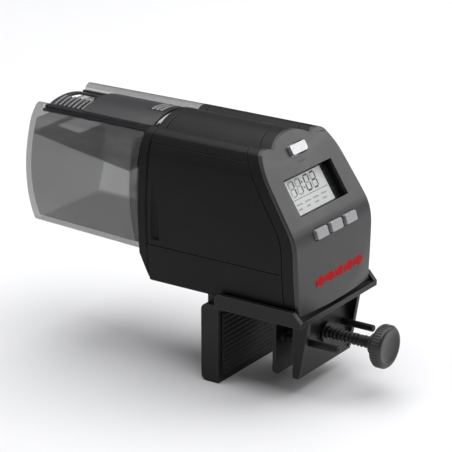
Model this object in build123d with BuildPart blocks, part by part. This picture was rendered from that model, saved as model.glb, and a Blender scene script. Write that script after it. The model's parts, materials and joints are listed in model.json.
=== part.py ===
"""Automatic feeder for an aquarium, with its clamp bracket. Millimetres, +Z up.

The origin is on the pad of the fixed jaw, level with the clamp screw. +X points from
the food drum towards the control face, and the tank's glass stands at +X of the jaw.
"""
from build123d import *
from math import acos, cos, degrees, pi, radians, sin, tan
import os

os.makedirs("parts", exist_ok=True)

# ---------------------------------------------------------------- driving dimensions
# Bracket and clamp
cradle_play = 0.8         # room beside the housing's foot, between the side flanges
cradle_lip = 0.6          # how far the front lip stands out from the housing's foot
cradle_back = -1.5
floor_under = 13.4        # underside of the cradle floor above the screw
floor_thick = 3.8
flange_thick = 2.3
flange_height = 3.0       # above the cradle floor
jaw_half = 30.0
jaw_depth = 10.2
jaw_drop = 23.8           # lower edge of the jaw below the screw
jaw_wall = 2.2
pad_thick = 1.0
clamp_half = 22.0
clamp_gap = 21.6          # open width of the clamp as it stands
clamp_thick = 1.9
clamp_drop = 16.4
plate_gap = 8.7           # from the clamp plate to the front plate
front_plate_thick = 3.3
front_plate_drop = 15.5
screw_r = 2.9
screw_length = 40.0
screw_head_r = 4.0
knob_r = 9.9
knob_thick = 5.8
pin_r = 1.6
pin_spread = 15.0
pin_length = 30.0
shaft_play = 0.05         # radial clearance of everything that turns or slides in a bore
slide_play = 0.3          # clearance between bodies that slide past each other

# Housing
junction_x = -43.5        # plane where the drum meets the housing
housing_foot = 29.0       # half width at the bottom
housing_belly = 31.5      # half width at the middle
belly_height = 35.5       # height of the widest point above the bottom
housing_height = 69.8     # from the bottom to the top of the ledges
arch_rise = 3.0           # crown of the arch above the ledges
shell_wall = 2.0
door_wall = 2.7
base_height = 18.0
cap_depth = 4.2
slope_height = 13.0       # the rear cap slopes inwards below this height
slope_run = 4.9
seam = 0.3                # visible gap between the housing's parts
face_slant = 32.7         # slope of the control face, degrees from upright
face_lean = 4.7           # slope of its lower part
face_bend = 34.6          # height of the bend above the bottom
bend_r = 22.0
face_thick = 2.0
face_bow = 2.4            # how far the lower edge curves back at its ends
front_band = 7.8          # depth of the front shell behind the face

# Control face
window_width = 39.0
window_height = 17.6
window_depth = 4.0
window_up = 49.5          # height of the window's centre above the bottom
button_up = 33.5
button_tilt = 18.0
button_spread = 12.0
button_row_y = 1.0
button_size = (9.0, 4.7)
feed_up = 65.5
feed_size = (12.5, 4.7)
button_rise = 1.5
button_play = 0.35

# Drum
drum_length = 64.7
drum_wall = 1.7
drum_gap = 0.6            # between drum and housing
drum_axis_up = 42.1       # axis above the housing's bottom
lid_half = 15.2
lid_sheet = 1.2
lid_play = 0.25

# Drive
gear_module = 0.6
gear_width = 3.0
gear_backlash = 0.22
pinion_teeth = 10
idler_wheel_teeth = 40
idler_pinion_teeth = 12
output_teeth = 48
shaft_r = 3.0
drive_square = 8.0
motor_r = 9.8

# Power
cell_r = 7.25
cell_length = 50.5
cell_pitch = 16.0
cell_room = 36.1          # length that gearbox and display take beside the cells

# ---------------------------------------------------------------- places worked out from them
floor_top = floor_under + floor_thick
base_z = floor_top + slide_play
ledge_z = base_z + housing_height
crown_z = ledge_z + arch_rise
housing_length = cell_length + cell_room
front_x = junction_x + housing_length
drum_axis_z = base_z + drum_axis_up
front_plate_x = clamp_gap + pad_thick + clamp_thick + plate_gap
shell_x = junction_x + cap_depth + seam
cradle_front = front_x + cradle_lip


def wall_y(height):
    """Half width of the housing at a height above its bottom."""
    return housing_belly - (housing_belly - housing_foot) * ((belly_height - height) / belly_height) ** 2


cradle_half = wall_y(flange_height) + cradle_play + flange_thick


def cap_x(height):
    """X of the rear cap's inner wall at a height above the housing's bottom."""
    slope = slope_run * (slope_height - height) / (slope_height - shell_wall)
    return junction_x + shell_wall + max(slope, 0)


def bend_x():
    """X of the corner that the bend rounds off."""
    return front_x - face_bend * tan(radians(face_lean))


def face_x(height):
    """X of the slanted face at a height above the bottom."""
    return bend_x() - (height - face_bend) * tan(radians(face_slant))


def face_plane(height, depth=0.0):
    """Plane on the slanted face, its X across the face, its Y up the slope."""
    tilt = radians(face_slant)
    origin = (face_x(height) - depth * cos(tilt), 0, base_z + height - depth * sin(tilt))
    return Plane(origin=origin, x_dir=(0, 1, 0), z_dir=(cos(tilt), 0, sin(tilt)))


def button_plane(depth=0.0):
    """Plane on the bend, square to the travel of the setting buttons."""
    tilt = radians(button_tilt)
    lean = radians(face_lean)
    bend_start = face_bend - bend_r * tan((radians(face_slant) - lean) / 2) * cos(lean)
    rise = button_up - bend_start
    arc_angle = lean + rise / bend_r
    x = front_x - bend_start * tan(lean) - rise * tan((lean + arc_angle) / 2)
    origin = (x - depth * cos(tilt), 0, base_z + button_up - depth * sin(tilt))
    return Plane(origin=origin, x_dir=(0, 1, 0), z_dir=(cos(tilt), 0, sin(tilt)))


def section(plane, foot, belly, shoulder, bead, inset, corner_r, arched):
    """Cross-section of housing or drum: barrel sides, two rounded ledges, an arch between.

    Each point is (half width, height). The inset pulls every side in by a wall.
    """
    foot = (foot[0] - inset, foot[1] + inset)
    belly = (belly[0] - inset, belly[1])
    shoulder = (shoulder[0] - inset, shoulder[1] - inset / 2)
    bead = (bead[0] - inset, bead[1] - inset)
    hip = ((shoulder[0] + bead[0]) / 2 + 0.5, (shoulder[1] + bead[1]) / 2 + 0.2)
    ledge_top = (lid_half + 5.0, ledge_z - inset)
    groove = (lid_half + 1.0, ledge_z - 1.3 - inset)
    arch_foot = (lid_half, ledge_z - 1.7 - inset)
    with BuildSketch(plane, mode=Mode.PRIVATE) as outline:
        with BuildLine():
            ThreePointArc(foot, belly, shoulder)
            ThreePointArc(shoulder, hip, bead)
            ThreePointArc(bead, ledge_top, groove)
            Line(groove, arch_foot)
            mirror(about=Plane.YZ)
            Line((-foot[0], foot[1]), foot)
            if arched:
                ThreePointArc(arch_foot, (0, crown_z - inset), (-arch_foot[0], arch_foot[1]))
            else:
                Line(arch_foot, (-arch_foot[0], arch_foot[1]))
        make_face()
        fillet(outline.vertices().group_by(Axis.Y)[0], corner_r)
    return outline.sketch


def side_profile(shift, inset=0.0):
    """Side view of the housing, its face moved back by shift and all other sides by inset."""
    top = crown_z + 3
    slope_top = face_x(top - base_z) - shift
    with BuildSketch(Plane.XZ, mode=Mode.PRIVATE) as profile:
        with BuildLine():
            Polyline((slope_top, top), (junction_x + inset, top), (junction_x + inset, base_z + slope_height),
                     (junction_x + slope_run + inset, base_z + inset), (front_x - shift, base_z + inset))
            FilletPolyline((front_x - shift, base_z + inset), (bend_x() - shift, base_z + face_bend),
                           (slope_top, top), radius=bend_r)
        make_face()
    return profile.sketch


def housing_form(inset, shift):
    """Solid of the housing's outside, or of its inside when inset by a wall."""
    with BuildPart(mode=Mode.PRIVATE) as form:
        extrude(section(Plane.YZ.offset(junction_x - 5), (housing_foot, base_z),
                        (housing_belly, base_z + belly_height), (housing_belly - 2.0, ledge_z - 10.8),
                        (housing_belly - 6.3, ledge_z - 1.7), inset, 1.2, True),
                amount=housing_length + 15)
        extrude(side_profile(shift, inset), amount=2 * housing_belly, both=True, mode=Mode.INTERSECT)
        with BuildSketch(Plane.XY):
            with BuildLine():
                corner = (front_x - shift - face_bow, housing_belly + 1)
                Polyline((corner[0], corner[1]), (junction_x, corner[1]),
                         (junction_x, -corner[1]), (corner[0], -corner[1]))
                ThreePointArc((corner[0], -corner[1]), (front_x - shift, 0), corner)
            make_face()
        extrude(amount=crown_z + 5, mode=Mode.INTERSECT)
    return form.part


def drum_form(inset, near_x, far_x):
    """Tapered solid of the drum, its near end at near_x and its outer end at far_x."""
    with BuildPart(mode=Mode.PRIVATE) as form:
        add(section(Plane.YZ.offset(near_x), (housing_belly - 4.8, base_z + 12.7),
                    (housing_belly - 0.3, base_z + 40.5), (housing_belly - 2.4, ledge_z - 10.8),
                    (housing_belly - 6.5, ledge_z - 1.7), inset, 2.5, False))
        add(section(Plane.YZ.offset(far_x), (housing_belly - 7.4, base_z + 13.9),
                    (housing_belly - 1.6, base_z + 42.0), (housing_belly - 5.2, ledge_z - 8.8),
                    (housing_belly - 9.3, ledge_z - 1.7), inset, 2.5, False))
        loft()
    return form.part


def arch_sheet(half_width, crown, sag, thick, low_x, high_x):
    """Arched sheet, sag lower at its sides than at its crown, from low_x to high_x."""
    with BuildPart(mode=Mode.PRIVATE) as sheet:
        with BuildSketch(Plane.YZ.offset(low_x)):
            with BuildLine():
                top_foot = (half_width, crown - sag)
                low_foot = (half_width, crown - sag - thick)
                ThreePointArc((-top_foot[0], top_foot[1]), (0, crown), top_foot)
                Line(top_foot, low_foot)
                ThreePointArc(low_foot, (0, crown - thick), (-low_foot[0], low_foot[1]))
                Line((-low_foot[0], low_foot[1]), (-top_foot[0], top_foot[1]))
            make_face()
        extrude(amount=high_x - low_x)
    return sheet.part


def block(low, high, mode=Mode.ADD):
    """Box between two corners, made in the part that is open."""
    size = [top - bottom for bottom, top in zip(low, high)]
    centre = tuple((top + bottom) / 2 for bottom, top in zip(low, high))
    with Locations(centre):
        Box(*size, mode=mode)


def rod(start, length, radius, mode=Mode.ADD):
    """Cylinder along +X from start, made in the part that is open."""
    with Locations(Location(start, (0, 90, 0))):
        Cylinder(radius, length, align=(Align.CENTER, Align.CENTER, Align.MIN), mode=mode)


def gear(low_x, centre, teeth, phase, width):
    """Spur gear with straight flanks about X, its first tooth at phase degrees, in the open part."""
    pitch_r = teeth * gear_module / 2
    rim = []
    for tooth in range(teeth):
        middle = radians(phase) + 2 * pi * tooth / teeth
        for side in (-1, 1):
            for radius in (pitch_r - 1.25 * gear_module, pitch_r + tooth_tip)[::-side]:
                half = pi * gear_module / 4 - gear_backlash / 2
                half += (pitch_r - radius) * tan(radians(20))
                angle = middle + side * half / radius
                rim.append((centre[0] + radius * cos(angle), centre[1] + radius * sin(angle)))
    with BuildSketch(Plane.YZ.offset(low_x), mode=Mode.PRIVATE) as outline:
        with BuildLine():
            Polyline(*rim, close=True)
        make_face()
    extrude(outline.sketch, amount=width)


def save(piece, name):
    """Name a finished piece and write it."""
    piece.part.label = name
    export_step(piece.part, f"parts/{name}.step")


# ---------------------------------------------------------------- clamp bracket
# One moulding: cradle floor with side flanges, hollow rear jaw, front plate with its boss.
jaw_back = -jaw_depth
lip_depth = 2.7
lip_top = floor_top - 1.4
plate_front = front_plate_x + front_plate_thick
boss_r = screw_r + 2.0
rail_half = 8.0
rail_flare = 2.0
rail_height = 2.0
rail_front = front_plate_x - 1.0
rail_back = -4.0


def dovetail(low_x, high_x, play, mode=Mode.ADD):
    """Dovetail rail under the housing, or with play the channel that it runs in."""
    top = base_z + play
    low = base_z - rail_height - play
    foot_half = rail_half + rail_flare
    with BuildSketch(Plane.YZ.offset(low_x), mode=Mode.PRIVATE) as profile:
        with BuildLine():
            Polyline((-rail_half - play, top), (rail_half + play, top), (foot_half + play, low),
                     (-foot_half - play, low), close=True)
        make_face()
    extrude(profile.sketch, amount=high_x - low_x, mode=mode)


with BuildPart() as bracket_frame:
    block((jaw_back, -jaw_half, -jaw_drop), (-pad_thick, jaw_half, floor_under))
    fillet(bracket_frame.edges().filter_by(Axis.Y).group_by(Axis.X)[0], 3.0)
    block((jaw_back - 1, -jaw_half + jaw_wall, -jaw_drop + jaw_wall),
          (-pad_thick - 3.0, jaw_half - jaw_wall, floor_under - 1.5), mode=Mode.SUBTRACT)
    for rib_y in (-jaw_half / 2, 0, jaw_half / 2):
        block((jaw_back + 0.6, rib_y - 0.9, -jaw_drop + 1), (-pad_thick - 2, rib_y + 0.9, floor_under - 1))
    block((jaw_back + 1.0, -jaw_half + 4, floor_under - 1), (cradle_back + 1, jaw_half - 4, floor_top))
    block((cradle_back, -cradle_half, floor_under), (cradle_front, cradle_half, floor_top))
    block((cradle_front - lip_depth, -cradle_half, lip_top), (cradle_front, cradle_half, floor_top),
          mode=Mode.SUBTRACT)
    block((front_plate_x, -clamp_half, -front_plate_drop), (plate_front, clamp_half, floor_under + 1))
    rod((plate_front - 1, 0, 0), 2.6, boss_r)
    with BuildSketch(Plane.XZ.offset(cradle_half - flange_thick)):
        with BuildLine():
            Polyline((cradle_back, floor_under), (cradle_back, floor_top),
                     (cradle_back + 1.6, floor_top + flange_height),
                     (cradle_front - 3.9, floor_top + flange_height), (cradle_front, lip_top),
                     (cradle_front, floor_under), close=True)
        make_face()
    extrude(amount=flange_thick)
    with BuildSketch(Plane.XZ.offset(clamp_half - flange_thick)):
        with BuildLine():
            Polyline((plate_front - 0.5, floor_under + 0.5), (plate_front + 5.2, floor_under + 0.5),
                     (plate_front + 0.5, 1.4 - front_plate_drop), (plate_front - 0.5, 1.4 - front_plate_drop),
                     close=True)
        make_face()
    extrude(amount=flange_thick)
    mirror(about=Plane.XZ)
    dovetail(jaw_back - 1, rail_front + 1.0, slide_play, mode=Mode.SUBTRACT)
    rod((front_plate_x - 1, 0, 0), front_plate_thick + 4, screw_r + shaft_play, mode=Mode.SUBTRACT)
    for side in (-1, 1):
        rod((front_plate_x - 1, side * pin_spread, 0), front_plate_thick + 4, pin_r + shaft_play,
            mode=Mode.SUBTRACT)
save(bracket_frame, "bracket_frame")

with BuildPart() as jaw_pad:
    block((-pad_thick, -jaw_half + 3, -jaw_drop + 3), (0, jaw_half - 3, floor_under - 4))
    fillet(jaw_pad.edges().filter_by(Axis.X), 2.0)
save(jaw_pad, "jaw_pad")

# Movable plate of the clamp; the screw's riveted head turns in a pocket behind its pad.
clamp_face = clamp_gap + pad_thick
clamp_back = clamp_face + clamp_thick
clamp_top = floor_under - 1.4
socket_depth = 1.3
socket_length = 2.8

with BuildPart() as clamp_plate:
    block((clamp_face, -clamp_half, -clamp_drop), (clamp_back, clamp_half, clamp_top))
    fillet(clamp_plate.edges().filter_by(Axis.X).group_by(Axis.Z)[0], 3.0)
    rod((clamp_back, 0, 0), socket_length, boss_r)
    for side in (-1, 1):
        rod((clamp_back, side * pin_spread, 0), 1.6, pin_r + 1.3)
        rod((clamp_face + 0.4, side * pin_spread, 0), 4, pin_r, mode=Mode.SUBTRACT)
    rod((clamp_face - 1, 0, 0), 7, screw_r + shaft_play, mode=Mode.SUBTRACT)
    rod((clamp_face, 0, 0), socket_depth, screw_head_r + slide_play, mode=Mode.SUBTRACT)
save(clamp_plate, "clamp_plate")

with BuildPart() as clamp_pad:
    block((clamp_gap, -clamp_half + 2, -clamp_drop + 2), (clamp_face, clamp_half - 2, clamp_top - 2))
    fillet(clamp_pad.edges().filter_by(Axis.X), 2.0)
save(clamp_pad, "clamp_pad")

with BuildPart() as guide_pins:
    for side in (-1, 1):
        rod((clamp_face + 0.4, side * pin_spread, 0), pin_length, pin_r)
    chamfer(guide_pins.edges().group_by(Axis.X)[-1], 0.4)
save(guide_pins, "guide_pins")

with BuildPart() as clamp_screw:
    rod((clamp_face + 0.2, 0, 0), socket_depth - 0.35, screw_head_r)
    rod((clamp_face + 0.2, 0, 0), screw_length + 3, screw_r)
save(clamp_screw, "clamp_screw")

# Round thumb knob, dished in front, moulded onto the screw.
knob_x = clamp_face + 0.2 + screw_length + 1.5
with BuildPart() as screw_knob:
    rod((knob_x - 3.5, 0, 0), 4, screw_r + 2.0)
    rod((knob_x, 0, 0), knob_thick, knob_r)
    fillet(screw_knob.edges().filter_by(GeomType.CIRCLE).group_by(Axis.X)[-1], 1.2)
    with Locations((knob_x + knob_thick + 3.2 * knob_r, 0, 0)):
        Sphere(3.3 * knob_r - 0.2, mode=Mode.SUBTRACT)
    rod((knob_x - 4, 0, 0), 5.5, screw_r, mode=Mode.SUBTRACT)
save(screw_knob, "screw_knob")

# ---------------------------------------------------------------- housing shells
outside = housing_form(0, 0)
inside = housing_form(shell_wall, -5)
behind_plate = housing_form(-1, face_thick)
behind_front = housing_form(-1, front_band)
body_end = housing_form(-1, front_band + seam)
door_back = housing_form(door_wall + seam, -5)
bay_skin = 1.6            # wall behind the battery door
inner_wall = housing_form(door_wall + seam + bay_skin, -5)
base_top = base_z + base_height
door_top = ledge_z - 4.6
door_x = shell_x + 0.4
reach = housing_belly + 5
far_front = front_x + 5
plate_x = junction_x + 15.5
plate_thick = 1.5
bush_r = 7.0
journal_r = 5.0
mesh_motor = 78.6         # direction from the idler to the motor pinion, degrees in the gear plane
idler_share = 0.4315      # how far out the idler sits, as a share of the housing's inner half width
tooth_tip = 0.9 * gear_module
output_reach = (output_teeth + idler_pinion_teeth) * gear_module / 2
wheel_reach = (idler_wheel_teeth + pinion_teeth) * gear_module / 2
wheel_tip = idler_wheel_teeth * gear_module / 2 + tooth_tip
idler_side = idler_share * (housing_belly - shell_wall)
mesh_out = -degrees(acos(idler_side / output_reach))
idler_at = (output_reach * cos(radians(mesh_out)), drum_axis_z + output_reach * sin(radians(mesh_out)))
motor_at = (idler_at[0] + wheel_reach * cos(radians(mesh_motor)),
            idler_at[1] + wheel_reach * sin(radians(mesh_motor)))
axle_r = 1.5
screw_boss_r = 3.2
near_screw = (junction_x + 10, door_wall + seam + screw_boss_r - 0.4 - housing_foot)
far_screws = [(junction_x + 24, housing_foot - screw_boss_r - 0.2),
              (front_x - 22.6, housing_foot - screw_boss_r - 0.2)]
foot_screws = [near_screw, *far_screws]
pillar_wall = wall_y(base_height + seam)


def screw_pillar(x, y, wall):
    """Blind pillar that a housing screw bites into, on a web from the wall, in the open part."""
    web_y = sorted((y, wall))
    block((x - 1, web_y[0], base_top + seam), (x + 1, web_y[1], base_top + seam + 8.0))
    with Locations((x, y, base_top + seam)):
        Cylinder(screw_boss_r, 8.0, align=(Align.CENTER, Align.CENTER, Align.MIN))
        Cylinder(1.25, 6.0, align=(Align.CENTER, Align.CENTER, Align.MIN), mode=Mode.SUBTRACT)


with BuildPart() as rear_cap:
    add(outside)
    block((junction_x + cap_depth, -reach, 0), (far_front, reach, crown_z + 5), mode=Mode.SUBTRACT)
    add(inside, mode=Mode.SUBTRACT)
    rod((junction_x + shell_wall - 0.5, 0, drum_axis_z), 4.2, bush_r + 2.2)
    rod((junction_x + shell_wall - 0.5, *idler_at), 2.5, axle_r + 2)
    rod((junction_x + 0.8, *idler_at), 5, axle_r, mode=Mode.SUBTRACT)
    rod((junction_x - 1, 0, drum_axis_z), 9, bush_r, mode=Mode.SUBTRACT)
save(rear_cap, "rear_cap")

with BuildPart() as rear_shell:
    add(outside)
    add(body_end, mode=Mode.INTERSECT)
    block((shell_x, -reach, base_top + seam), (far_front, reach, crown_z + 5), mode=Mode.INTERSECT)
    add(inside, mode=Mode.SUBTRACT)
    block((door_x, -reach, 0), (far_front, -lid_half, door_top), mode=Mode.SUBTRACT)
    for x, y in far_screws:
        screw_pillar(x, y, pillar_wall - shell_wall / 2)
save(rear_shell, "rear_shell")

# Inner wall behind the battery door, with the battery bay's opening.
tray_x = plate_x + plate_thick + 0.3
tray_wall = 1.0
tray_inner = cell_length + 3.4
bay_x = (tray_x + tray_wall, tray_x + tray_wall + tray_inner)
bay_z = (base_z + 19.0, base_z + 36.5)
cell_z = base_z + 27.7
tray_low = cell_z - cell_r - 0.3 - tray_wall
with BuildPart() as bay_wall:
    add(door_back)
    add(body_end, mode=Mode.INTERSECT)
    block((door_x, -reach, base_top + seam), (far_front, -lid_half - 1, ledge_z - 7.5), mode=Mode.INTERSECT)
    add(inner_wall, mode=Mode.SUBTRACT)
    block((bay_x[0], -reach, bay_z[0]), (bay_x[1], 0, bay_z[1]), mode=Mode.SUBTRACT)
    screw_pillar(*near_screw, door_wall + seam + bay_skin / 2 - pillar_wall)
save(bay_wall, "bay_wall")

# The door's finger groove is a slightly tilted round cut that fades out towards its top.
groove_r = 2.3
groove_tilt = 1.8

with BuildPart() as battery_door:
    add(outside)
    add(body_end, mode=Mode.INTERSECT)
    block((door_x + seam, -reach, base_top + seam), (far_front, -lid_half, door_top - seam),
          mode=Mode.INTERSECT)
    add(housing_form(door_wall, -5), mode=Mode.SUBTRACT)
    with Locations(Location((door_x + 4.4, -housing_belly - groove_r + 1.7, base_z + 21.0), (groove_tilt, 0, 0))):
        Cylinder(groove_r, 34.0, align=(Align.CENTER, Align.CENTER, Align.MIN), mode=Mode.SUBTRACT)
save(battery_door, "battery_door")

with BuildPart() as base_cover:
    add(outside)
    add(body_end, mode=Mode.INTERSECT)
    block((shell_x, -reach, 0), (far_front, reach, base_top), mode=Mode.INTERSECT)
    add(inside, mode=Mode.SUBTRACT)
    for x, y in foot_screws:
        with Locations((x, y, base_z + shell_wall - 0.5)):
            Cylinder(screw_boss_r, base_height - shell_wall, align=(Align.CENTER, Align.CENTER, Align.MIN))
    dovetail(rail_back, rail_front, 0)
    for x, y in foot_screws:
        with Locations((x, y, base_z - 1)):
            Cylinder(1.3, base_height + 5, align=(Align.CENTER, Align.CENTER, Align.MIN), mode=Mode.SUBTRACT)
            Cylinder(2.6, 2.6, align=(Align.CENTER, Align.CENTER, Align.MIN), mode=Mode.SUBTRACT)
save(base_cover, "base_cover")

with BuildPart() as front_shell:
    add(outside)
    add(behind_plate, mode=Mode.INTERSECT)
    add(behind_front, mode=Mode.SUBTRACT)
    add(inside, mode=Mode.SUBTRACT)
save(front_shell, "front_shell")

with BuildPart() as face_plate:
    add(outside)
    add(behind_plate, mode=Mode.SUBTRACT)
    with BuildSketch(face_plane(window_up)):
        Rectangle(window_width, window_height)
    extrude(amount=face_thick + 4, both=True, mode=Mode.SUBTRACT)
    with BuildSketch(face_plane(feed_up)):
        RectangleRounded(feed_size[0] + 2 * button_play, feed_size[1] + 2 * button_play, 1.2)
    extrude(amount=face_thick + 4, both=True, mode=Mode.SUBTRACT)
    with BuildSketch(button_plane()):
        for place in (-1, 0, 1):
            with Locations((button_row_y + place * button_spread, 0)):
                RectangleRounded(button_size[0] + 2 * button_play, button_size[1] + 2 * button_play, 1.2)
    extrude(amount=face_thick + 4, both=True, mode=Mode.SUBTRACT)
save(face_plate, "face_plate")

with BuildPart() as housing_screws:
    for x, y in foot_screws:
        with Locations((x, y, base_z + 0.2)):
            Cylinder(2.4, 1.3, align=(Align.CENTER, Align.CENTER, Align.MIN))
            Cylinder(1.2, base_height + 3, align=(Align.CENTER, Align.CENTER, Align.MIN))
save(housing_screws, "housing_screws")

# ---------------------------------------------------------------- display and buttons
board_depth = 9.0
board_thick = 1.6
frame_rim = 1.2

with BuildPart(face_plane(window_up)) as lcd_frame:
    half_w = window_width / 2 + frame_rim
    half_h = window_height / 2 + frame_rim
    block((-half_w, -half_h, -board_depth + 0.1), (half_w, half_h, -face_thick - 0.05))
    block((-window_width / 2, -window_height / 2, -board_depth), (window_width / 2, window_height / 2, 0),
          mode=Mode.SUBTRACT)
save(lcd_frame, "lcd_frame")

with BuildPart(face_plane(window_up)) as lcd_lens:
    block((0.1 - window_width / 2, 0.1 - window_height / 2, -window_depth),
          (window_width / 2 - 0.1, window_height / 2 - 0.1, -window_depth + 0.9))
save(lcd_lens, "lcd_lens")

with BuildPart(face_plane(window_up)) as lcd_panel:
    block((0.1 - window_width / 2, 0.1 - window_height / 2, -window_depth - 2.2),
          (window_width / 2 - 0.1, window_height / 2 - 0.1, -window_depth - 0.4))
save(lcd_panel, "lcd_panel")

board_top = (feed_up - window_up) / cos(radians(face_slant)) + 4.5
with BuildPart(face_plane(window_up)) as main_board:
    block((-window_width / 2 - frame_rim, -window_height / 2 - 1, -board_depth - board_thick),
          (window_width / 2 + frame_rim, board_top, -board_depth))
save(main_board, "main_board")

with BuildPart(button_plane()) as button_board:
    block((button_row_y - button_spread - 6, -4, -8 - board_thick), (button_row_y + button_spread + 6, 4, -8))
save(button_board, "button_board")

with BuildPart() as button_switches:
    with Locations(face_plane(feed_up)):
        with Locations((0, 0, -7.0)):
            Box(6, 6, 4.0)
    with Locations(button_plane()):
        for place in (-1, 0, 1):
            with Locations((button_row_y + place * button_spread, 0, -6.3)):
                Box(6, 6, 3.4)
save(button_switches, "button_switches")


def button_cap(plane, size):
    """Button standing proud of the face, its stop flange and its stem, in the open part."""
    with BuildSketch(plane, mode=Mode.PRIVATE) as outline:
        RectangleRounded(size[0], size[1], 0.9)
    extrude(outline.sketch, amount=button_rise, taper=4)
    extrude(outline.sketch, amount=-face_thick - 1.0)
    block((-size[0] / 2 - 0.7, -size[1] / 2 - 0.7, -face_thick - 1.4),
          (size[0] / 2 + 0.7, size[1] / 2 + 0.7, -face_thick - 0.6))
    block((-1.2, -1.2, -face_thick - 1.7), (1.2, 1.2, -face_thick - 0.9))


with BuildPart(face_plane(feed_up)) as feed_button:
    button_cap(face_plane(feed_up), feed_size)
save(feed_button, "feed_button")

for place, name in ((-1, "set_button_left"), (0, "set_button_middle"), (1, "set_button_right")):
    row = button_plane()
    row.origin += Vector(0, button_row_y + place * button_spread, 0)
    with BuildPart(row) as set_button:
        button_cap(row, button_size)
    save(set_button, name)

# ---------------------------------------------------------------- gearbox
gear_low_x = junction_x + 6.5
gear_high_x = junction_x + 10.5

with BuildPart() as shaft_bush:
    rod((junction_x + 0.1, 0, drum_axis_z), 6.0, bush_r - 0.02)
    rod((junction_x, 0, drum_axis_z), 8.0, journal_r + shaft_play, mode=Mode.SUBTRACT)
save(shaft_bush, "shaft_bush")

with BuildPart() as drive_shaft:
    block((junction_x - 10.5, -drive_square / 2, drum_axis_z - drive_square / 2),
          (junction_x - 0.3, drive_square / 2, drum_axis_z + drive_square / 2))
    chamfer(drive_shaft.edges().group_by(Axis.X)[0], 0.8)
    rod((junction_x - 0.3, 0, drum_axis_z), 6.5, journal_r)
    rod((junction_x, 0, drum_axis_z), 19.0, shaft_r)
    rod((gear_high_x, 0, drum_axis_z), 2.0, shaft_r + 1.7)
    block((gear_high_x - 0.1, shaft_r + 0.6, drum_axis_z - 0.6),
          (gear_high_x + 2.1, shaft_r + 3, drum_axis_z + 0.6), mode=Mode.SUBTRACT)
save(drive_shaft, "drive_shaft")

with BuildPart() as output_gear:
    gear(gear_low_x, (0, drum_axis_z), output_teeth, mesh_out, gear_width)
    rod((gear_low_x - 1, 0, drum_axis_z), gear_width + 2, shaft_r + 0.02, mode=Mode.SUBTRACT)
    for turn in range(5):
        angle = radians(72 * turn + 9)
        rod((gear_low_x - 1, 8.4 * cos(angle), drum_axis_z + 8.4 * sin(angle)), gear_width + 2, 2.6,
            mode=Mode.SUBTRACT)
save(output_gear, "output_gear")

with BuildPart() as idler_gear:
    gear(gear_low_x, idler_at, idler_pinion_teeth, mesh_out + 180 + 180 / idler_pinion_teeth, gear_width + 1.5)
    gear(gear_high_x, idler_at, idler_wheel_teeth, mesh_motor, gear_width)
    rod((gear_low_x - 1, *idler_at), 10, axle_r + shaft_play, mode=Mode.SUBTRACT)
save(idler_gear, "idler_gear")

with BuildPart() as idler_axle:
    rod((junction_x + 0.9, *idler_at), 15.6, axle_r - 0.01)
save(idler_axle, "idler_axle")

with BuildPart() as motor_pinion:
    gear(gear_high_x, motor_at, pinion_teeth, mesh_motor + 180 + 180 / pinion_teeth, gear_width)
    rod((gear_high_x + 0.2, *motor_at), 7.5, 1.0)
save(motor_pinion, "motor_pinion")

post_r = 2.3
post_reach = wheel_tip + 2 * post_r
low_post_y = housing_belly - shell_wall - 6.0
low_post_drop = (post_reach ** 2 - (low_post_y - idler_at[0]) ** 2) ** 0.5
posts = [(-14.5, drum_axis_z + 16.5), (motor_at[0] + 5.1, motor_at[1] + 11.6),
         (low_post_y, idler_at[1] - low_post_drop), (-14.5, tray_low - post_r - 1.3)]
plate_low = min(z for y, z in posts) - 2.5
plate_high = max(z for y, z in posts) + 3.0
with BuildPart() as gearbox_plate:
    block((plate_x, -18, plate_low), (plate_x + plate_thick, low_post_y + 2.4, plate_high))
    fillet(gearbox_plate.edges().filter_by(Axis.X), 3.0)
    for y, z in posts:
        post_x = cap_x(z - post_r - base_z) + 0.1
        rod((post_x, y, z), plate_x + 0.2 - post_x, post_r)
    rod((plate_x - 1, 0, drum_axis_z), 5, shaft_r + shaft_play, mode=Mode.SUBTRACT)
    rod((plate_x - 1, *motor_at), 5, 3.2, mode=Mode.SUBTRACT)
    rod((plate_x - 1, *idler_at), 5, axle_r, mode=Mode.SUBTRACT)
save(gearbox_plate, "gearbox_plate")

with BuildPart() as motor:
    rod((plate_x + plate_thick + 0.1, *motor_at), 25, motor_r)
    block((plate_x, motor_at[0] - 7.5, 0), (plate_x + 40, motor_at[0] + 7.5, crown_z), mode=Mode.INTERSECT)
    rod((plate_x + plate_thick + 25, *motor_at), 2, 3.0)
    rod((plate_x + 1, *motor_at), 8, 1.05, mode=Mode.SUBTRACT)
save(motor, "motor")

with BuildPart() as position_switch:
    block((gear_high_x - 0.2, -6.4, drum_axis_z + shaft_r + 2.4),
          (plate_x - 0.05, 6.4, drum_axis_z + shaft_r + 8.6))
save(position_switch, "position_switch")

with BuildPart() as gearbox_screws:
    for y, z in posts:
        rod((plate_x + plate_thick + 0.05, y, z), 1.4, 2.0)
save(gearbox_screws, "gearbox_screws")

# ---------------------------------------------------------------- batteries
# Two cells lie side by side in a tray that is reached through the battery door.
cell_rows = (-housing_belly + door_wall + 2.2 + cell_r + 0.2, -housing_belly + door_wall + 2.4 + cell_r + cell_pitch)
contact_thick = 0.4
contact_gap = contact_thick + 0.1
tray_back = cell_rows[1] + cell_r + 0.6

with BuildPart() as battery_tray:
    block((tray_x, cell_rows[0] - 4.5, tray_low),
          (tray_x + tray_inner + 2 * tray_wall, tray_back + tray_wall, cell_z + 5))
    block((tray_x + tray_wall, -reach, tray_low + tray_wall),
          (tray_x + tray_wall + tray_inner, tray_back, cell_z + 20), mode=Mode.SUBTRACT)
save(battery_tray, "battery_tray")

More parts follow.
